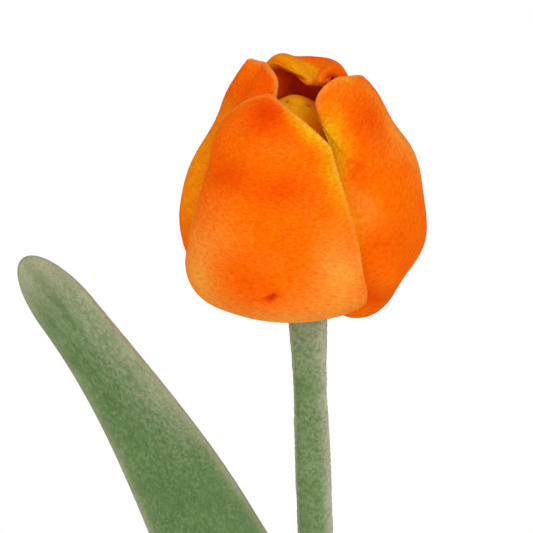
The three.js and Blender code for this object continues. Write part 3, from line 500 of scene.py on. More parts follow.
def leaf_sheet(across, along):
    """The leaf's middle surface. Its spine is an arc whose lean grows with the length, its cross-section
    turns about the spine by the twist, and is itself an arc that clasps the stem at the root and is
    nearly flat further out. Past a quarter turn of that arc it runs straight on."""
    turn_per_length = (LEAF_LEANS[1] - LEAF_LEANS[0]) / LEAF_LENGTH
    arc = 1 / turn_per_length
    lean = LEAF_LEANS[0] + turn_per_length * along
    root_x = -(STEM_RADIUS + CLEARANCE + SEAM_GAP + PILE)
    spine = np.stack([root_x - arc * (math.cos(LEAF_LEANS[0]) - np.cos(lean)), 0 * lean,
                      LEAF_HEIGHT + arc * (np.sin(lean) - math.sin(LEAF_LEANS[0]))], -1)
    twist = LEAF_TWIST * smooth(0.1 * LEAF_TWIST_LENGTH, LEAF_TWIST_LENGTH, along)
    forward = np.stack([0 * lean, 0 * lean - 1, 0 * lean], -1)
    inward = np.stack([np.cos(lean), 0 * lean, np.sin(lean)], -1)
    cos_t, sin_t = np.cos(twist)[..., None], np.sin(twist)[..., None]
    lateral = forward * cos_t - inward * sin_t
    normal = inward * cos_t + forward * sin_t
    clasp = np.exp(-((along / LEAF_CLASP_LENGTH) ** 2))
    clasp_radius = STEM_RADIUS + 2 * CLEARANCE + SEAM_GAP + PILE + 0.4 * LEAF_SWELL
    curvature = clasp / clasp_radius + (1 - clasp) / LEAF_CUP_RADIUS
    turn = np.minimum(np.abs(across) * curvature, math.pi / 2)
    arm = np.abs(across) - turn / curvature
    sideways = np.sin(turn) / curvature + arm * np.cos(turn)
    rise = (1 - np.cos(turn)) / curvature + arm * np.sin(turn)
    return spine + lateral * (np.sign(across) * sideways)[..., None] + normal * rise[..., None]


ring, angle = disc_grid(LEAF_CELLS)
edge_across, edge_along = pad_outline(angle, LEAF_LENGTH, leaf_half_width)
u = ring * edge_across
v = LEAF_LENGTH / 2 + ring * (edge_along - LEAF_LENGTH / 2)
# The distance to the seam: 1 - ring times that from the middle to the edge, or times the blade's half
# width and 3 mm where that is less.
from_middle = np.hypot(edge_across, edge_along - LEAF_LENGTH / 2)
rim = (1 - ring) * np.minimum(leaf_half_width(v, 1) + 3, from_middle)
# The seam's fullness is gathered round the tip: short pleats that fade a few millimetres inwards.
near_tip = smooth(LEAF_LENGTH - 16, LEAF_LENGTH - 3, edge_along) * np.exp(-rim / 3.2)
pleats = near_tip * np.cos(LEAF_PLEATS * angle + 0.7 * np.sin(5 * angle))
along_seam = hump(rim, SEAM_FURROW, 0.75)
# Painted light: seen from the front, the blade's right part is painted paler, as light from the right makes
# it.
right_part = smooth(-0.45, 0.9, -u / LEAF_HALF_WIDTH)
painted_light_right = 0.95 * right_part * smooth(LEAF_LIT_SPAN[0], LEAF_LIT_SPAN[1], v)
middle = leaf_sheet(u, v)
leaf_sides = []
leaf_tones = {"nap": [], "deep": [], "pale_pile_and_light": [], "edge": []}
for side, seed in ((1, 21), (-1, 24)):
    pile = clumps(middle + seed, LEAF_CLUMP, seed)
    # The wadding's lumps are 6.5 and 17 mm across.
    swell = clumps(middle + seed, 6.5, seed + 1)
    quilt = clumps(middle + seed, 17, seed + 2)
    height = turned_edge(rim) + LEAF_SWELL * pillow(ring) * (1 + 0.22 * quilt)
    relief = 0.13 * pile + 0.14 * swell + 0.5 * pleats - 0.30 * along_seam
    leaf_sides.append(offset_out(leaf_sheet, u, v, side * (height + relief * smooth(0, 1.2, rim))))
    # Painted shade: darker where the pile, the wadding and the pleats lie low, and less of it on the lit
    # right part.
    deep = np.clip(0.15 - 0.4 * pile - 0.1 * swell - 0.9 * pleats, 0, 1) * (1 - 0.6 * right_part)
    leaf_tones["nap"].append(np.stack([u * MM, v * MM, 0 * u + (1 - side) / 2], -1))
    leaf_tones["deep"].append(deep)
    leaf_tones["pale_pile_and_light"].append(np.clip(painted_light_right + 0.2 * pile + 0.06 * swell, 0, 1))
    # A painted highlight along the seam, where the turned edge catches the light.
    leaf_tones["edge"].append(0.7 * np.exp(-rim / 1.4))
LEAF_PLUSH = plush_finish(
    "short-pile plush, leaf green", "#5f7b4b",
    [("pale_pile_and_light", "#a3a785"), ("deep", "#4a6836"), ("edge", "#aba68a")],
    clump_mm=0.42, depth=0.2, sheen=0.15, sheen_tint="#d9d2b8", stroke=0.6)
leaf_upper, leaf_lower = settle("leaf", leaf_sides[0], leaf_sides[1], step=3, cap=0.4)
leaf = make_pad("leaf", leaf_upper, leaf_lower, LEAF_CELLS, (2 * LEAF_HALF_WIDTH, LEAF_LENGTH),
                leaf_tones, LEAF_PLUSH)
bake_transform(leaf)
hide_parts("leaf_face", "leaf_back", "leaf_wadding")

# Neck and base round. The petals' lower ends are sewn to a round of orange plush, and its middle is drawn
# down to a gathered neck over the stem's end, which is what lets the head nod.
NECK = np.array([-3.667, 0.0, 300.0])
HEAD_LEAN = math.radians(3.6)
BALL_RADIUS = 6.0
DISC_RADIUS = 9.4
DISC_THICKNESS = 0.7
DISC_UNDER = 0.3  # its underside lies this far below the neck's centre
NECK_GATHERS = 14
NECK_CELLS = 56


def in_head(points):
    """Points measured from the neck, turned about Y by the head's lean and moved onto the stem's end."""
    x, y, z = points[..., 0], points[..., 1], points[..., 2]
    cos_l, sin_l = math.cos(HEAD_LEAN), math.sin(HEAD_LEAN)
    return np.stack([x * cos_l - z * sin_l, y, x * sin_l + z * cos_l], -1) + NECK


ring, angle = disc_grid(NECK_CELLS)
gathers = 0.35 * np.cos(NECK_GATHERS * angle) * smooth(0.3, 0.6, ring) * (1 - smooth(0.75, 0.9, ring))
disc_r = DISC_RADIUS * ring
drawn = np.sqrt(np.clip(BALL_RADIUS ** 2 - disc_r ** 2, 0, None))
under = -np.maximum(drawn, DISC_UNDER) - gathers * (drawn > 0.4)
over = DISC_THICKNESS * np.sqrt(np.clip(1 - smooth(0.9, 1, ring), 0, 1)) - DISC_UNDER
under = np.where(ring >= 1, -DISC_UNDER, under)
flat_disc = np.stack([disc_r * np.sin(angle), -disc_r * np.cos(angle)], -1)
neck_over = in_head(np.concatenate([flat_disc, over[..., None]], -1))
neck_under = in_head(np.concatenate([flat_disc, under[..., None]], -1))
nap = np.concatenate([flat_disc * MM, 0 * ring[..., None]], -1)
BASE_PLUSH = plush_finish(
    "short-pile plush, orange, gathered", "#f5700a", [("deep", "#c93f00")],
    clump_mm=0.7, depth=0.10, sheen=0.35, sheen_tint="#ffd9b8")
# The folds of the gathered neck are painted darker, as shade.
base_tones = {"nap": (nap, nap), "deep": (0 * ring, np.clip(-2 * gathers, 0, 1))}
base_round = make_pad("head_base_round", neck_over, neck_under, NECK_CELLS,
                      (2 * DISC_RADIUS, 2 * DISC_RADIUS), base_tones, BASE_PLUSH)
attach(base_round, "flower_head")
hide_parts("head_base_disc")

# Bud. Three gores of yellow plush are sewn edge to edge, stuffed hard, and drawn together at the top with
# a thread, which pulls creases into the cloth and dimples it at two stitches, all with painted shade in
# them.
BELLY_RADIUS = 39.4
BELLY_HEIGHT = 25
UNDERSIDE_HEIGHT = 0.3
UNDERSIDE_POWER = 3.2  # 2 is an ellipse, and more is squarer
MOUTH_RADIUS = 20.5
MOUTH_HEIGHT = 84
SHOULDER_POWER = 1.2  # more keeps the belly's width further up
BUD_FOOT = 1.5
BUD_TOP = 72.8
BUD_BELLY = 0.35  # share of the cloth's run, from foot to top, at which the belly lies
BUD_CLOTH = 90  # from foot to top along the cloth, and the size of each half on the map
BUD_MIDDLE = 30  # the relief pushes away from the axis at this height
BUD_INSET = 8.75  # the bud lies this far inside the head's outline
BUD_TURN = math.radians(24)
BUD_CREASE = (5.1, 1.53)  # radius in front, and what it gains per radian to the right
BUD_HOLLOW = (5.6, 12)  # depth and radius, in the foot, which gives the stem's end room to swing
BUD_STITCHES = ((-2.9, -2.4), (5.1, -4.0))  # seen from above, in mm from the bud's axis
BUD_STITCH_SIZE = (0.7, 0.55)
BUD_CLUMP = 0.95
BUD_CELLS = 150


def shoulder_radius(height):
    """Radius of the head's outline above the belly: half a cosine wave from the belly's to the mouth's."""
    share = np.clip((height - BELLY_HEIGHT) / (MOUTH_HEIGHT - BELLY_HEIGHT), 0, 1)
    wave = 0.5 + 0.5 * np.cos(math.pi * share ** SHOULDER_POWER)
    return MOUTH_RADIUS + (BELLY_RADIUS - MOUTH_RADIUS) * wave


def bud_profile(share):
    """Radius and height of the bud, from its foot (0) to its closed top (1). Below the belly it is part of
    an ellipse, and above it follows the head's outline, times (1 - t^4)^0.5 so that it closes."""
    low = np.clip(share / BUD_BELLY, 0, 1) * math.pi / 2
    under_r = (BELLY_RADIUS - BUD_INSET) * np.sin(low)
    under_z = BELLY_HEIGHT - (BELLY_HEIGHT - BUD_FOOT) * np.cos(low)
    t = np.sin(np.clip((share - BUD_BELLY) / (1 - BUD_BELLY), 0, 1) * math.pi / 2)
    z = BELLY_HEIGHT + (BUD_TOP - BELLY_HEIGHT) * t
    over_r = (shoulder_radius(z) - BUD_INSET) * np.sqrt(np.clip(1 - t ** 4, 0, 1))
    return np.where(share < BUD_BELLY, under_r, over_r), np.where(share < BUD_BELLY, under_z, z)


def bud_side(upper):
    """The upper or the lower half of the bud on a disc grid. Seams are drawn in, the top is dimpled where
    its thread comes out at two stitches, a crease runs from one of these to the other, along an arc whose
    radius grows with its angle, and the foot has a hollow."""
    ring, angle = disc_grid(BUD_CELLS)
    share = 1 - 0.5 * ring if upper else 0.5 * ring
    r, z = bud_profile(share)
    shape = np.stack([r * np.sin(angle), -r * np.cos(angle), z], -1)
    to_seam = np.abs((3 * (angle - BUD_TURN) / (2 * math.pi)) % 1 - 0.5)
    seam = hump(0.5 - to_seam, 0, 0.035) if upper else 0 * ring
    puckers = hump(r, 7, 4) * clumps(np.stack([angle * 2.6, 0.1 * r, 0 * r], -1), 1, 37)
    between = smooth(-1.1, -0.6, angle) * (1 - smooth(0.9, 1.2, angle)) if upper else 0 * ring
    crease = between * hump(r, BUD_CREASE[0] + BUD_CREASE[1] * angle, 0.55)
    stitches = sum(hump(shape[..., 0], x, BUD_STITCH_SIZE[0]) * hump(shape[..., 1], y, BUD_STITCH_SIZE[1])
                   for x, y in BUD_STITCHES)
    stitches = stitches if upper else 0 * ring
    hollow = 0 * ring if upper else BUD_HOLLOW[0] * hump(r, 0, BUD_HOLLOW[1])
    pile = clumps(shape, BUD_CLUMP, 31)
    swell = clumps(shape, 6, 32)
    push = (0.08 * pile + 0.25 * swell - 0.5 * seam * smooth(8, 14, r) + 0.35 * puckers - 0.5 * crease
            - 0.9 * stitches - hollow)
    away = shape - [0, 0, BUD_MIDDLE]
    away /= np.linalg.norm(away, axis=-1, keepdims=True)
    # The seams, the crease and the stitch dimples are painted darker, as shade.
    deep = np.clip(0.3 * seam * smooth(8, 14, r) + 0.12 * crease * (1 + swell) + 0.7 * stitches, 0, 1)
    # The yellow goes over to orange below the top, and towards the right and the back, where the orange is
    # painted shade.
    shaded_far_side = smooth(-1, 4, 0.7 * (shape[..., 0] + shape[..., 1]) - 0.3 * swell)
    orange = np.maximum(1 - smooth(BUD_TOP - 10, BUD_TOP - 2, z), shaded_far_side)
    nap = np.stack([angle * 12 * MM, share * BUD_CLOTH * MM, 0 * ring], -1)
    return in_head(shape + away * push[..., None]), deep, 0.85 * orange, nap


BUD_PLUSH = plush_finish(
    "short-pile plush, golden yellow", "#ffb010", [("orange", "#ff860a"), ("deep", "#6a3004")],
    clump_mm=0.6, depth=0.14, sheen=0.03, sheen_tint="#ffb050")
bud_upper, bud_lower = bud_side(True), bud_side(False)
bud_tones = {"nap": (bud_upper[3], bud_lower[3]), "deep": (bud_upper[1], bud_lower[1]),
             "orange": (bud_upper[2], bud_lower[2])}
bud_sides = settle("bud", bud_upper[0], bud_lower[0], step=5, cap=0.4)
bud = make_pad("bud", bud_sides[0], bud_sides[1], BUD_CELLS, (BUD_CLOTH, BUD_CLOTH), bud_tones, BUD_PLUSH)
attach(bud, "flower_head")
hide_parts("bud_gore_1", "bud_gore_2", "bud_gore_3", "bud_stuffing")

# Petals. Each is sewn from an orange face and a lining, turned, and filled with a layer of wadding, so it
# swells between its seams. Yellow is sprayed along some edges and red-orange on the points. The roots are
# sewn to the base round; the front petal covers the two at its sides, and these cover the back one.
PETAL_ROOT_RADIUS = 10.2  # where a petal's lower end is sewn to the base round
PETAL_SWELL_IN = 1.0  # how far the lining bulges inwards
PETAL_CLUMP = 0.9
PETAL_CLOTH = 80  # width of a petal's cloth on its map
TUCK_RUN = 15  # length over which a covered edge dips under its neighbour
TUCK_SWELL = 2.8  # what is left of the two petals' swell where one covers the other
TUCK_DEPTH = 2 * (SEAM_GAP + PILE) + CLEARANCE + TUCK_SWELL
LEAN_HEIGHT = 62  # above this height a petal has turned to its point's side
FOLD_SHARE = 0.28  # how far a fold turns each place from its own way inwards to the fold's
RED_LINING = (62, 20)  # the lining's red and painted shade end between these distances from the tip
TACK_LIES = (0.88, 0.47)  # the way that a tack stitch points, as (across, along)
PROFILE_STEPS = 60
PROFILE_RUN_ON = 60  # the head's outline runs straight on over this height, past the mouth
PETAL_CELLS = 168
# Pairs are a petal's left and right side. Its half width in degrees goes from low to high between two
# lengths from its root (turns), with soft steps out or in (ears: degrees, at, width), and rounds off over
# tip_round to its point, at the height tip. The point leans to a side by lean, in degrees. The top curls
# in (curl: height, radius, angle), and one with a fold turns towards that azimuth. The petal passes below
# those named in under, up to the height free. A bulge is (azimuth, length from the root, width in degrees,
# length, how far out).
PETALS = {
    "front": dict(azimuth=-23, lean=-3.5, low=(68.5, 62), high=(41.5, 51), turns=((21, 67), (18, 62)),
                  ears=((8, 89, 9), (-3.5, 36, 11)), root_round=24, tip=80.2, tip_round=(16.5, 20.5),
                  tip_power=(1.95, 1.33), swell=2.8, curl=(66, 60, 6), fold=None, under=(), free=100,
                  bulges=((-70, 30, 15, 12, 1.1), (-50, 16, 22, 12, -0.3))),
    "right": dict(azimuth=64, lean=-11.4, low=(44.5, 56), high=(24, 56), turns=((54.5, 85.5), (40, 80)),
                  ears=((10, 104, 13), (0, 0, 1)), root_round=24, tip=82.5, tip_round=(8.5, 9),
                  tip_power=(2, 1.35), swell=1.7, curl=(74, 40, 4), fold=None, under=("front",), free=64,
                  bulges=((64, 11.6, 20, 12, 7.4), (80.5, 23.7, 24, 12, -6), (86, 40.4, 22, 12, 1.3),
                          (84, 69, 30, 12, 2.8), (84, 92.4, 34, 12, 3.2))),
    "left": dict(azimuth=-109, lean=7, low=(50, 62), high=(49, 77.5), turns=((40, 80), (76, 92)),
                 ears=((0, 0, 1), (0, 0, 1)), root_round=24, tip=88.6, tip_round=(43, 7.5),
                 tip_power=(1.3, 2.4), swell=1.8, curl=(70, 60, 4), fold=None, under=("front",), free=100,
                 bulges=((-73, 5, 14, 12, -0.65), (-98, 112, 40, 12, -0.8),
                          (-105, 38.9, 24, 12, 0.8), (-95, 82.6, 34, 12, -1))),
    "back": dict(azimuth=165, lean=-2.9, low=(54, 60), high=(58.6, 55.2), turns=((40, 80), (40, 80)),
                 ears=((-12.5, 121.8, 8.4), (0, 0, 1)), root_round=24, tip=99.4, tip_round=(16.5, 15.5),
                 tip_power=(1.75, 2.5), swell=1.7, curl=(74.6, 7.5, 83), fold=252,
                 under=("right", "left"), free=100,
                 bulges=((204, 104.7, 16, 12, 3.3), (118, 97, 16, 12, 1.9))),
}


def head_profile():
    """The head's outline as arrays of arc length, radius, height and lean. Under the belly it is a
    superellipse, r = R sin(t)^(2/p) and z = H - D cos(t)^(2/p), and above it the shoulder."""
    start = math.asin((PETAL_ROOT_RADIUS / BELLY_RADIUS) ** (UNDERSIDE_POWER / 2))
    turn = np.linspace(start, math.pi / 2, PROFILE_STEPS + 1)
    r = BELLY_RADIUS * np.sin(turn) ** (2 / UNDERSIDE_POWER)
    dip = np.clip(np.cos(turn), 0, 1) ** (2 / UNDERSIDE_POWER)
    z = BELLY_HEIGHT - (BELLY_HEIGHT - UNDERSIDE_HEIGHT) * dip
    above = np.linspace(BELLY_HEIGHT, MOUTH_HEIGHT, PROFILE_STEPS + 1)[1:]
    r = np.concatenate([r, shoulder_radius(above)])
    z = np.concatenate([z, above])
    # It runs straight on past its end, for the petals that are longer.
    r = np.append(r, r[-1] + PROFILE_RUN_ON * (r[-1] - r[-2]) / (z[-1] - z[-2]))
    z = np.append(z, z[-1] + PROFILE_RUN_ON)
    length = np.concatenate([[0], np.cumsum(np.hypot(np.diff(r), np.diff(z)))])
    lean = np.arctan2(-np.gradient(r), np.gradient(z))
    lean[-1] = lean[-2] = math.atan2(r[-3] - r[-2], z[-2] - z[-3])
    return length, r, z, lean


LENGTHS, RADII, HEIGHTS, LEANS = head_profile()


def length_at(height):
    """Arc length at which the outline, above the belly, reaches a height."""
    return np.interp(height, HEIGHTS[PROFILE_STEPS:], LENGTHS[PROFILE_STEPS:])


def petal_profile(length, curl):
    """Radius, height, lean and inward travel of a petal's outline at an arc length: the head's, until the
    top curls in along an arc of (start height, radius, angle) and then runs straight."""
    height, bend, angle = curl
    start = length_at(height)
    r, z, lean = (np.interp(np.minimum(length, start), LENGTHS, values)
                  for values in (RADII, HEIGHTS, LEANS))
    turn = np.clip((length - start) / bend, 0, math.radians(angle))
    straight = np.clip(length - start - turn * bend, 0, None)
    after = lean + turn
    inward = bend * (np.cos(lean) - np.cos(after)) + straight * np.sin(after)
    z = z + bend * (np.sin(after) - np.sin(lean)) + straight * np.cos(after)
    return r, z, after, inward


def around(azimuth):
    """The same direction between -180 and 180 degrees."""
    return (azimuth + 180) % 360 - 180


def lean_at(petal, along):
    """How far a petal has turned to its point's side, in degrees: its lean times a smooth step from the
    belly up to LEAN_HEIGHT."""
    return petal["lean"] * smooth(length_at(BELLY_HEIGHT), length_at(LEAN_HEIGHT), along)


def reach_at(petal, side, along):
    """A petal's half width on one side, in degrees, before its ends are rounded off:
    low + (high - low) * smooth(turns) + ear * exp(-((along - at) / width)^2)."""
    left, right = (low + (high - low) * smooth(*turns, along) + out * hump(along, at, width)
                   for low, high, turns, (out, at, width)
                   in zip(petal["low"], petal["high"], petal["turns"], petal["ears"]))
    return np.where(side > 0, right, left)


def tuck_at(azimuth, along, petal):
    """How far a petal sinks to pass under its neighbours: the full depth beneath them, and a smooth ramp of
    TUCK_RUN beyond their edges; nothing at the root and above the height where it stands free."""
    depth = 0 * along
    for other in (PETALS[key] for key in petal["under"]):
        side = np.sign(around(petal["azimuth"] - other["azimuth"]))
        turned = around(azimuth - other["azimuth"] - lean_at(other, along))
        past = side * turned - reach_at(other, side, along)
        run = np.radians(past) * np.maximum(np.interp(along, LENGTHS, RADII), PETAL_ROOT_RADIUS)
        depth = np.maximum(depth, 1 - smooth(0, TUCK_RUN, run))
    start = length_at(petal["free"])
    below = smooth(0.05 * petal["root_round"], 0.75 * petal["root_round"], along)
    return TUCK_DEPTH * depth * below * (1 - smooth(start, start + TUCK_RUN, along))


def petal_sheet(petal):
    """The petal's middle surface as a function of (across in degrees, along in mm): its outline, carried
    round the head at the azimuth, sunk by the tuck and pushed out by each bulge, which is a bump of
    exp(-x^2 - y^2). What curls in goes towards the axis. A petal that is folded over turns there by
    FOLD_SHARE of the way towards the one azimuth fold."""
    def sheet(across, along):
        azimuth = petal["azimuth"] + lean_at(petal, along) + across
        r, z, slope, inward = petal_profile(along, petal["curl"])
        sunk = tuck_at(azimuth, along, petal) * np.minimum(r / MOUTH_RADIUS, 1)
        out = 0 * along
        for at, up, width, length, push in petal["bulges"]:
            out = out + push * hump(around(azimuth - at), 0, width) * hump(along, up, length)
        radius = r + out * np.cos(slope) - sunk * np.cos(np.minimum(slope, 0))
        height = z + out * np.sin(slope) - sunk * np.sin(np.minimum(slope, 0))
        turn = np.radians(azimuth)
        fold = turn
        if petal["fold"] is not None:
            fold = turn + FOLD_SHARE * np.radians(around(petal["fold"] - azimuth))
        return np.stack([radius * np.sin(turn) - inward * np.sin(fold),
                         inward * np.cos(fold) - radius * np.cos(turn), height], -1)
    return sheet


def petal_grid(petal):
    """For each point of a petal's disc grid: ring, angle, its place (across in degrees, along in mm), and
    its distance to the seam in mm, which is 1 - ring times that from the grid's middle to its edge. The
    middle is a little nearer to the tip than to the root. Also returns the petal's length."""
    length = length_at(petal["tip"])
    middle = 0.55 * length

    def half_angle(along, side):
        tip_round = np.where(side > 0, petal["tip_round"][1], petal["tip_round"][0])
        tip_power = np.where(side > 0, petal["tip_power"][1], petal["tip_power"][0])
        return (reach_at(petal, side, along) * rounding(along, petal["root_round"], 2)
                * rounding(length - along, tip_round, tip_power))

    ring, angle = disc_grid(PETAL_CELLS)
    edge_across, edge_along = pad_outline(angle, length, half_angle)
    u = ring * edge_across
    v = middle + ring * (edge_along - middle)
    r = np.interp(v, LENGTHS, RADII)
    rim = (1 - ring) * np.hypot(np.radians(edge_across) * r, edge_along - middle)
    return ring, angle, u, v, rim, length


# The inside tone is partly painted shade in the lining's cup.
# The seam tone is a painted highlight along the petals' edges.
PETAL_PLUSH = plush_finish(
    "short-pile plush, sprayed orange", "#fa6a00",
    [("pale", "#fc9a38"), ("red", "#e43e00"), ("inside", "#ff1800"), ("yellow", "#eaac0e"),
     ("seam", "#f6a548")],
    clump_mm=0.7, depth=0.3, sheen=0.02, sheen_tint="#ff9040", stroke=0.4, relief=0.12,
    spectrum=(0.2, 1, 1.2))


def make_petal(key, seed, grain, sprayed=(), brushed=(), tack=None, fold=None, seam_highlight=0.8):
    """One sewn petal, whose nap lies at the angle grain. sprayed gives its yellow edge as (side, degrees
    from the middle where it starts at the lower and at the upper length, those lengths, lowest, highest,
    strength), brushed the patches where the pile lies another way, and a few of painted shade and sheen,
    as (tone, across, along, degrees, mm, strength), tack a place (across, along) where a stitch dimples it,
    and fold a crease (across, along, slope, length, depth), both with painted shade in red. Only the outer
    side has the brushed patches, the tack and the crease."""
    petal = PETALS[key]
    ring, angle, u, v, rim, length = petal_grid(petal)
    sheet = petal_sheet(petal)
    middle = sheet(u, v)
    r = np.interp(v, LENGTHS, RADII)
    wide = np.radians(u) * r
    lain = [wide * math.cos(grain) + v * math.sin(grain), v * math.cos(grain) - wide * math.sin(grain)]
    tones, sides = {}, []
    for side, swell_mm in ((1, petal["swell"]), (-1, PETAL_SWELL_IN)):
        at = middle + 50 * side + seed
        pile = clumps(at, PETAL_CLUMP, seed)
        # The wadding's lumps are 15 mm across, with softer ones of 9 mm, and the seam puckers the cloth.
        soft = clumps(at, 9, seed + 1)
        lumps = clumps(at, 15, seed + 2)
        puckers = np.exp(-rim / 4) * clumps(np.stack([angle * 9, 0 * rim, rim / 6], -1), 1, seed + 3)
        height = turned_edge(rim) + swell_mm * pillow(ring)
        relief = (0.05 * pile + 0.10 * soft + 0.35 * lumps * pillow(ring) + 0.30 * puckers
                  - 0.25 * hump(rim, SEAM_FURROW, 0.8))
        pulled = 0 * ring
        if side == 1 and tack:
            x, y = wide - np.radians(tack[0]) * r, v - tack[1]
            along_tack = TACK_LIES[0] * x + TACK_LIES[1] * y
            off_tack = TACK_LIES[0] * y - TACK_LIES[1] * x
            far = np.hypot(0.55 * along_tack, 1.25 * off_tack)
            pulled = np.exp(-((far / 1.6) ** 2))
            # The dimple is 1.9 mm deep and longer along the stitch, and five short creases run out from it.
            relief = relief - 1.9 * pulled - 0.45 * np.exp(-far / 3.6) * np.cos(5 * np.arctan2(y, x) + 1)
        if side == 1 and fold:
            across, along, slope, long, deep = fold
            x, y = wide - np.radians(across) * r, v - along
            along_fold = x * math.cos(slope) + y * math.sin(slope)
            off_fold = y * math.cos(slope) - x * math.sin(slope)
            crease = hump(along_fold, 0, long) * hump(off_fold, 0, 1.8)
            # The cloth stands up beside the crease in a soft roll.
            relief = relief - deep * (crease - 0.5 * hump(along_fold, 0, long) * hump(off_fold, 4.5, 4))
            pulled = np.maximum(pulled, 0.3 * deep * crease)
        sides.append(in_head(offset_out(sheet, u, v, side * (height + relief * smooth(0, 1.3, rim)))))
        # The red starts as painted shade in the tack's dimple and along the crease.
        patches = {"pale": 0 * ring, "red": pulled, "yellow": 0 * ring}
        # The spray comes in over 20 degrees, with a ragged edge, and fades at both ends. Less of it reaches
        # the lining.
        for hand, (from_low, from_high), (low, high), lowest, highest, strength in sprayed:
            start = from_low + (from_high - from_low) * smooth(low, high, v)
            reach = smooth(-7, 13, hand * u - start + 2.5 * soft + 1.5 * pile)
            window = smooth(lowest - 12, lowest + 14, v) * (1 - smooth(highest - 12, highest + 5, v))
            reach = strength * reach * window * (1 if side == 1 else 0.4)
            patches["yellow"] = np.maximum(patches["yellow"], reach)
        if side == 1:
            for tone, across, along, degrees, mm, strength in brushed:
                patch = strength * hump(u + 2 * soft, across, degrees) * hump(v + 1.5 * lumps, along, mm)
                patches[tone] = patches[tone] + patch
        # The lining is redder than the face: partly red dye, and partly painted shade deep in the cup, but
        # for a band along its top that is left orange where it is lit.
        red_and_shade = 1 - smooth(length - RED_LINING[0], length - RED_LINING[1], v)
        found = {
            "pale": np.clip(patches["pale"] + 0.08 * soft + 0.10 * pile, 0, 1) * (1 - patches["yellow"]),
            "red": np.clip(patches["red"] + 0.10 * clumps(at, 17, seed + 6), 0, 1),
            "yellow": np.clip(patches["yellow"], 0, 1),
            "inside": 0.8 * red_and_shade if side == -1 else 0 * ring,
            # A painted highlight along the seam, where the rim catches the light.
            "seam": seam_highlight * np.exp(-rim / 0.8),
            "nap": np.stack([lain[0] * MM, lain[1] * MM, 0 * wide + side + seed], -1),
        }
        for tone, values in found.items():
            tones.setdefault(tone, []).append(values)
    outer, inner = settle(f"petal_{key}", sides[0], sides[1], step=4, cap=0.5)
    made = make_pad(f"petal_{key}", outer, inner, PETAL_CELLS, (PETAL_CLOTH, length), tones, PETAL_PLUSH)
    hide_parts(f"petal_{key}_face", f"petal_{key}_lining", f"petal_{key}_wadding")
    return made


front = make_petal(
    "front", seed=41, grain=math.radians(80), tack=(6.8, 33.7),
    sprayed=[(1, (42, 17), (78, 100), 62, 106, 1.0)],
    brushed=[("pale", -37, 38, 14, 14, 0.95), ("pale", -20, 52, 14, 8, 0.35), ("pale", 41, 40, 13, 12, 0.9),
             ("pale", 8, 20, 50, 10, 1.2), ("red", 4, 96, 20, 8, 1.0), ("red", -16, 73, 16, 6, 0.7),
             ("red", 16, 69, 14, 5, 0.6), ("red", -4, 38, 12, 9, 0.4)])
right = make_petal(
    "right", seed=51, grain=math.radians(-48), fold=(-15, 74.5, 0.85, 6, 0.6),
    sprayed=[(-1, (28, 11), (60, 84), 48, 97, 1.0)],
    # The pale patch at 27 degrees, on the edge that turns away, is painted sheen.
    brushed=[("pale", 13, 74, 12, 8, 0.25), ("pale", -23, 60, 6, 8, 0.4), ("pale", 27, 74, 9, 22, 0.6),
             ("pale", 8, 105, 14, 5, 0.5), ("yellow", 4, 106, 16, 4, 0.3), ("red", 3, 88, 16, 10, 0.6),
             # The red patch at -18 degrees and 74 mm, on the crease, is painted shade.
             ("red", -17, 45, 12, 9, 0.4), ("red", -16, 20, 14, 6, 0.6), ("red", -18, 74, 6, 5, 0.4)])
left = make_petal(
    "left", seed=61, grain=math.radians(70), sprayed=[(1, (20, 1), (50, 68), 36, 98, 0.35)],
    brushed=[("red", 60, 106, 30, 12, 0.6), ("red", 20, 96, 20, 10, 0.6), ("pale", -2, 64, 14, 20, 0.6)])
back = make_petal(
    "back", seed=71, grain=math.radians(60), seam_highlight=0.1,
    sprayed=[(1, (30, -14), (104, 119), 103, 150, 0.65)],
    brushed=[("red", -8, 105, 22, 5, 0.45), ("pale", -30, 110, 20, 6, 0.2), ("red", -70, 104, 14, 8, 0.5)])
for petal_piece in (right, left, back):
    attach(petal_piece, "flower_head")
# The front petal opens about the middle of its sewn root, and its cloth gives over the next 12 mm.
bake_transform(front)

# Room. A pale floor fades to white from 0.2 to 0.5 m off its middle. A large soft lamp high on the right,
# a weaker one on the left and an even white sky light the flower, as in a small photo tent.
FLOOR_REACH = 30  # metres from its middle to its edge
FLOOR = bpy.data.materials.new("matt white paper floor")
FLOOR.use_nodes = True
floor_tree = FLOOR.node_tree
floor_shader = floor_tree.nodes["Principled BSDF"]
floor_shader.inputs["Base Color"].default_value = linear("#f2f2f0")
floor_shader.inputs["Roughness"].default_value = 0.9
floor_shader.inputs["Specular IOR Level"].default_value = 0.1
floor_place = add_node(floor_tree, "ShaderNodeTexCoord")
distance = add_node(floor_tree, "ShaderNodeVectorMath", {"operation": "LENGTH"},
                    {0: floor_place.outputs["Object"]})
faded = add_node(floor_tree, "ShaderNodeMapRange", {1: 0.2, 2: 0.5}, {0: distance.outputs["Value"]})
rays = add_node(floor_tree, "ShaderNodeLightPath")
seen = add_node(floor_tree, "ShaderNodeMath", {"operation": "MAXIMUM"},
                {0: rays.outputs["Is Camera Ray"], 1: rays.outputs["Is Glossy Ray"]})
amount = add_node(floor_tree, "ShaderNodeMath", {"operation": "MULTIPLY"},
                  {0: seen.outputs[0], 1: faded.outputs[0]})
white = add_node(floor_tree, "ShaderNodeEmission", {"Color": (1, 1, 1, 1), "Strength": 1.0})
blend = add_node(floor_tree, "ShaderNodeMixShader", {},
                 {0: amount.outputs[0], 1: floor_shader.outputs[0], 2: white.outputs[0]})
floor_tree.links.new(blend.outputs[0], floor_tree.nodes["Material Output"].inputs["Surface"])
floor_mesh = bpy.data.meshes.new("floor")
floor_corners = [(x * FLOOR_REACH, y * FLOOR_REACH, 0) for x, y in ((-1, -1), (1, -1), (1, 1), (-1, 1))]
floor_mesh.from_pydata(floor_corners, [], [(0, 1, 2, 3)])
floor_mesh.materials.append(FLOOR)
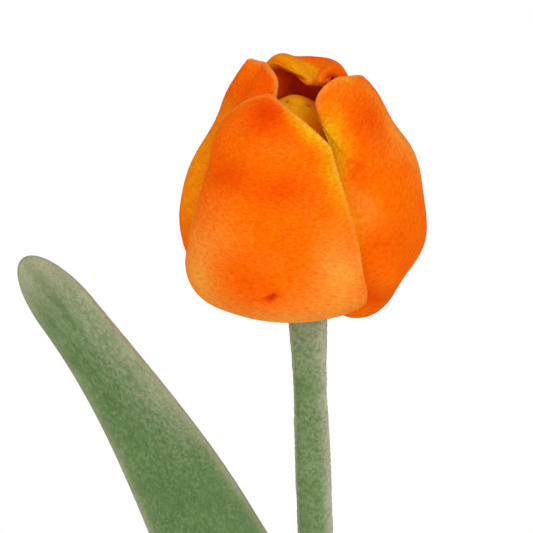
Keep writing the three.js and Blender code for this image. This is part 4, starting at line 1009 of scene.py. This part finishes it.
floor = bpy.data.objects.new("floor", floor_mesh)
bpy.context.scene.collection.objects.link(floor)

world = bpy.data.worlds.new("white tent")
bpy.context.scene.world = world
world.use_nodes = True
sky = world.node_tree.nodes["Background"]
sky_rays = add_node(world.node_tree, "ShaderNodeLightPath")
# The sky lights the flower at 0.62 and looks white.
sky_level = add_node(world.node_tree, "ShaderNodeMapRange", {3: 0.62, 4: 1.0},
                     {0: sky_rays.outputs["Is Camera Ray"]})
world.node_tree.links.new(sky_level.outputs[0], sky.inputs["Strength"])
sky.inputs["Color"].default_value = (1, 1, 1, 1)


def add_lamp(name, place, aim, size, watts):
    """A square soft lamp at a place, turned to face a point."""
    data = bpy.data.lights.new(name, "AREA")
    data.size = size
    data.energy = watts
    lamp = bpy.data.objects.new(name, data)
    bpy.context.scene.collection.objects.link(lamp)
    lamp.location = place
    lamp.rotation_euler = (Vector(aim) - lamp.location).to_track_quat("-Z", "Y").to_euler()


add_lamp("key lamp", (0.8, -1.7, 1.3), (0, 0, 0.3), 1.0, 17)
add_lamp("fill lamp", (-1.4, -1.2, 0.9), (0, 0, 0.3), 1.2, 7.5)

# Camera. It stands 2 m off, 18 degrees above the horizontal, and looks just left of the head.
CAMERA_TARGET = (-0.0178, 0.0, 0.3107)
CAMERA_DISTANCE = 2.0
CAMERA_RISE = math.radians(18)
SEEN_WIDTH = 0.18655  # of the picture, at that distance
SENSOR_WIDTH = 36
camera_data = bpy.data.cameras.new("camera")
camera_data.sensor_width = SENSOR_WIDTH
camera_data.lens = SENSOR_WIDTH * CAMERA_DISTANCE / SEEN_WIDTH
camera = bpy.data.objects.new("camera", camera_data)
bpy.context.scene.collection.objects.link(camera)
camera.location = (CAMERA_TARGET[0], -CAMERA_DISTANCE * math.cos(CAMERA_RISE),
                   CAMERA_TARGET[2] + CAMERA_DISTANCE * math.sin(CAMERA_RISE))
camera.rotation_euler = (math.pi / 2 - CAMERA_RISE, 0, 0)
bpy.context.scene.camera = camera
bpy.context.scene.view_settings.view_transform = "Standard"
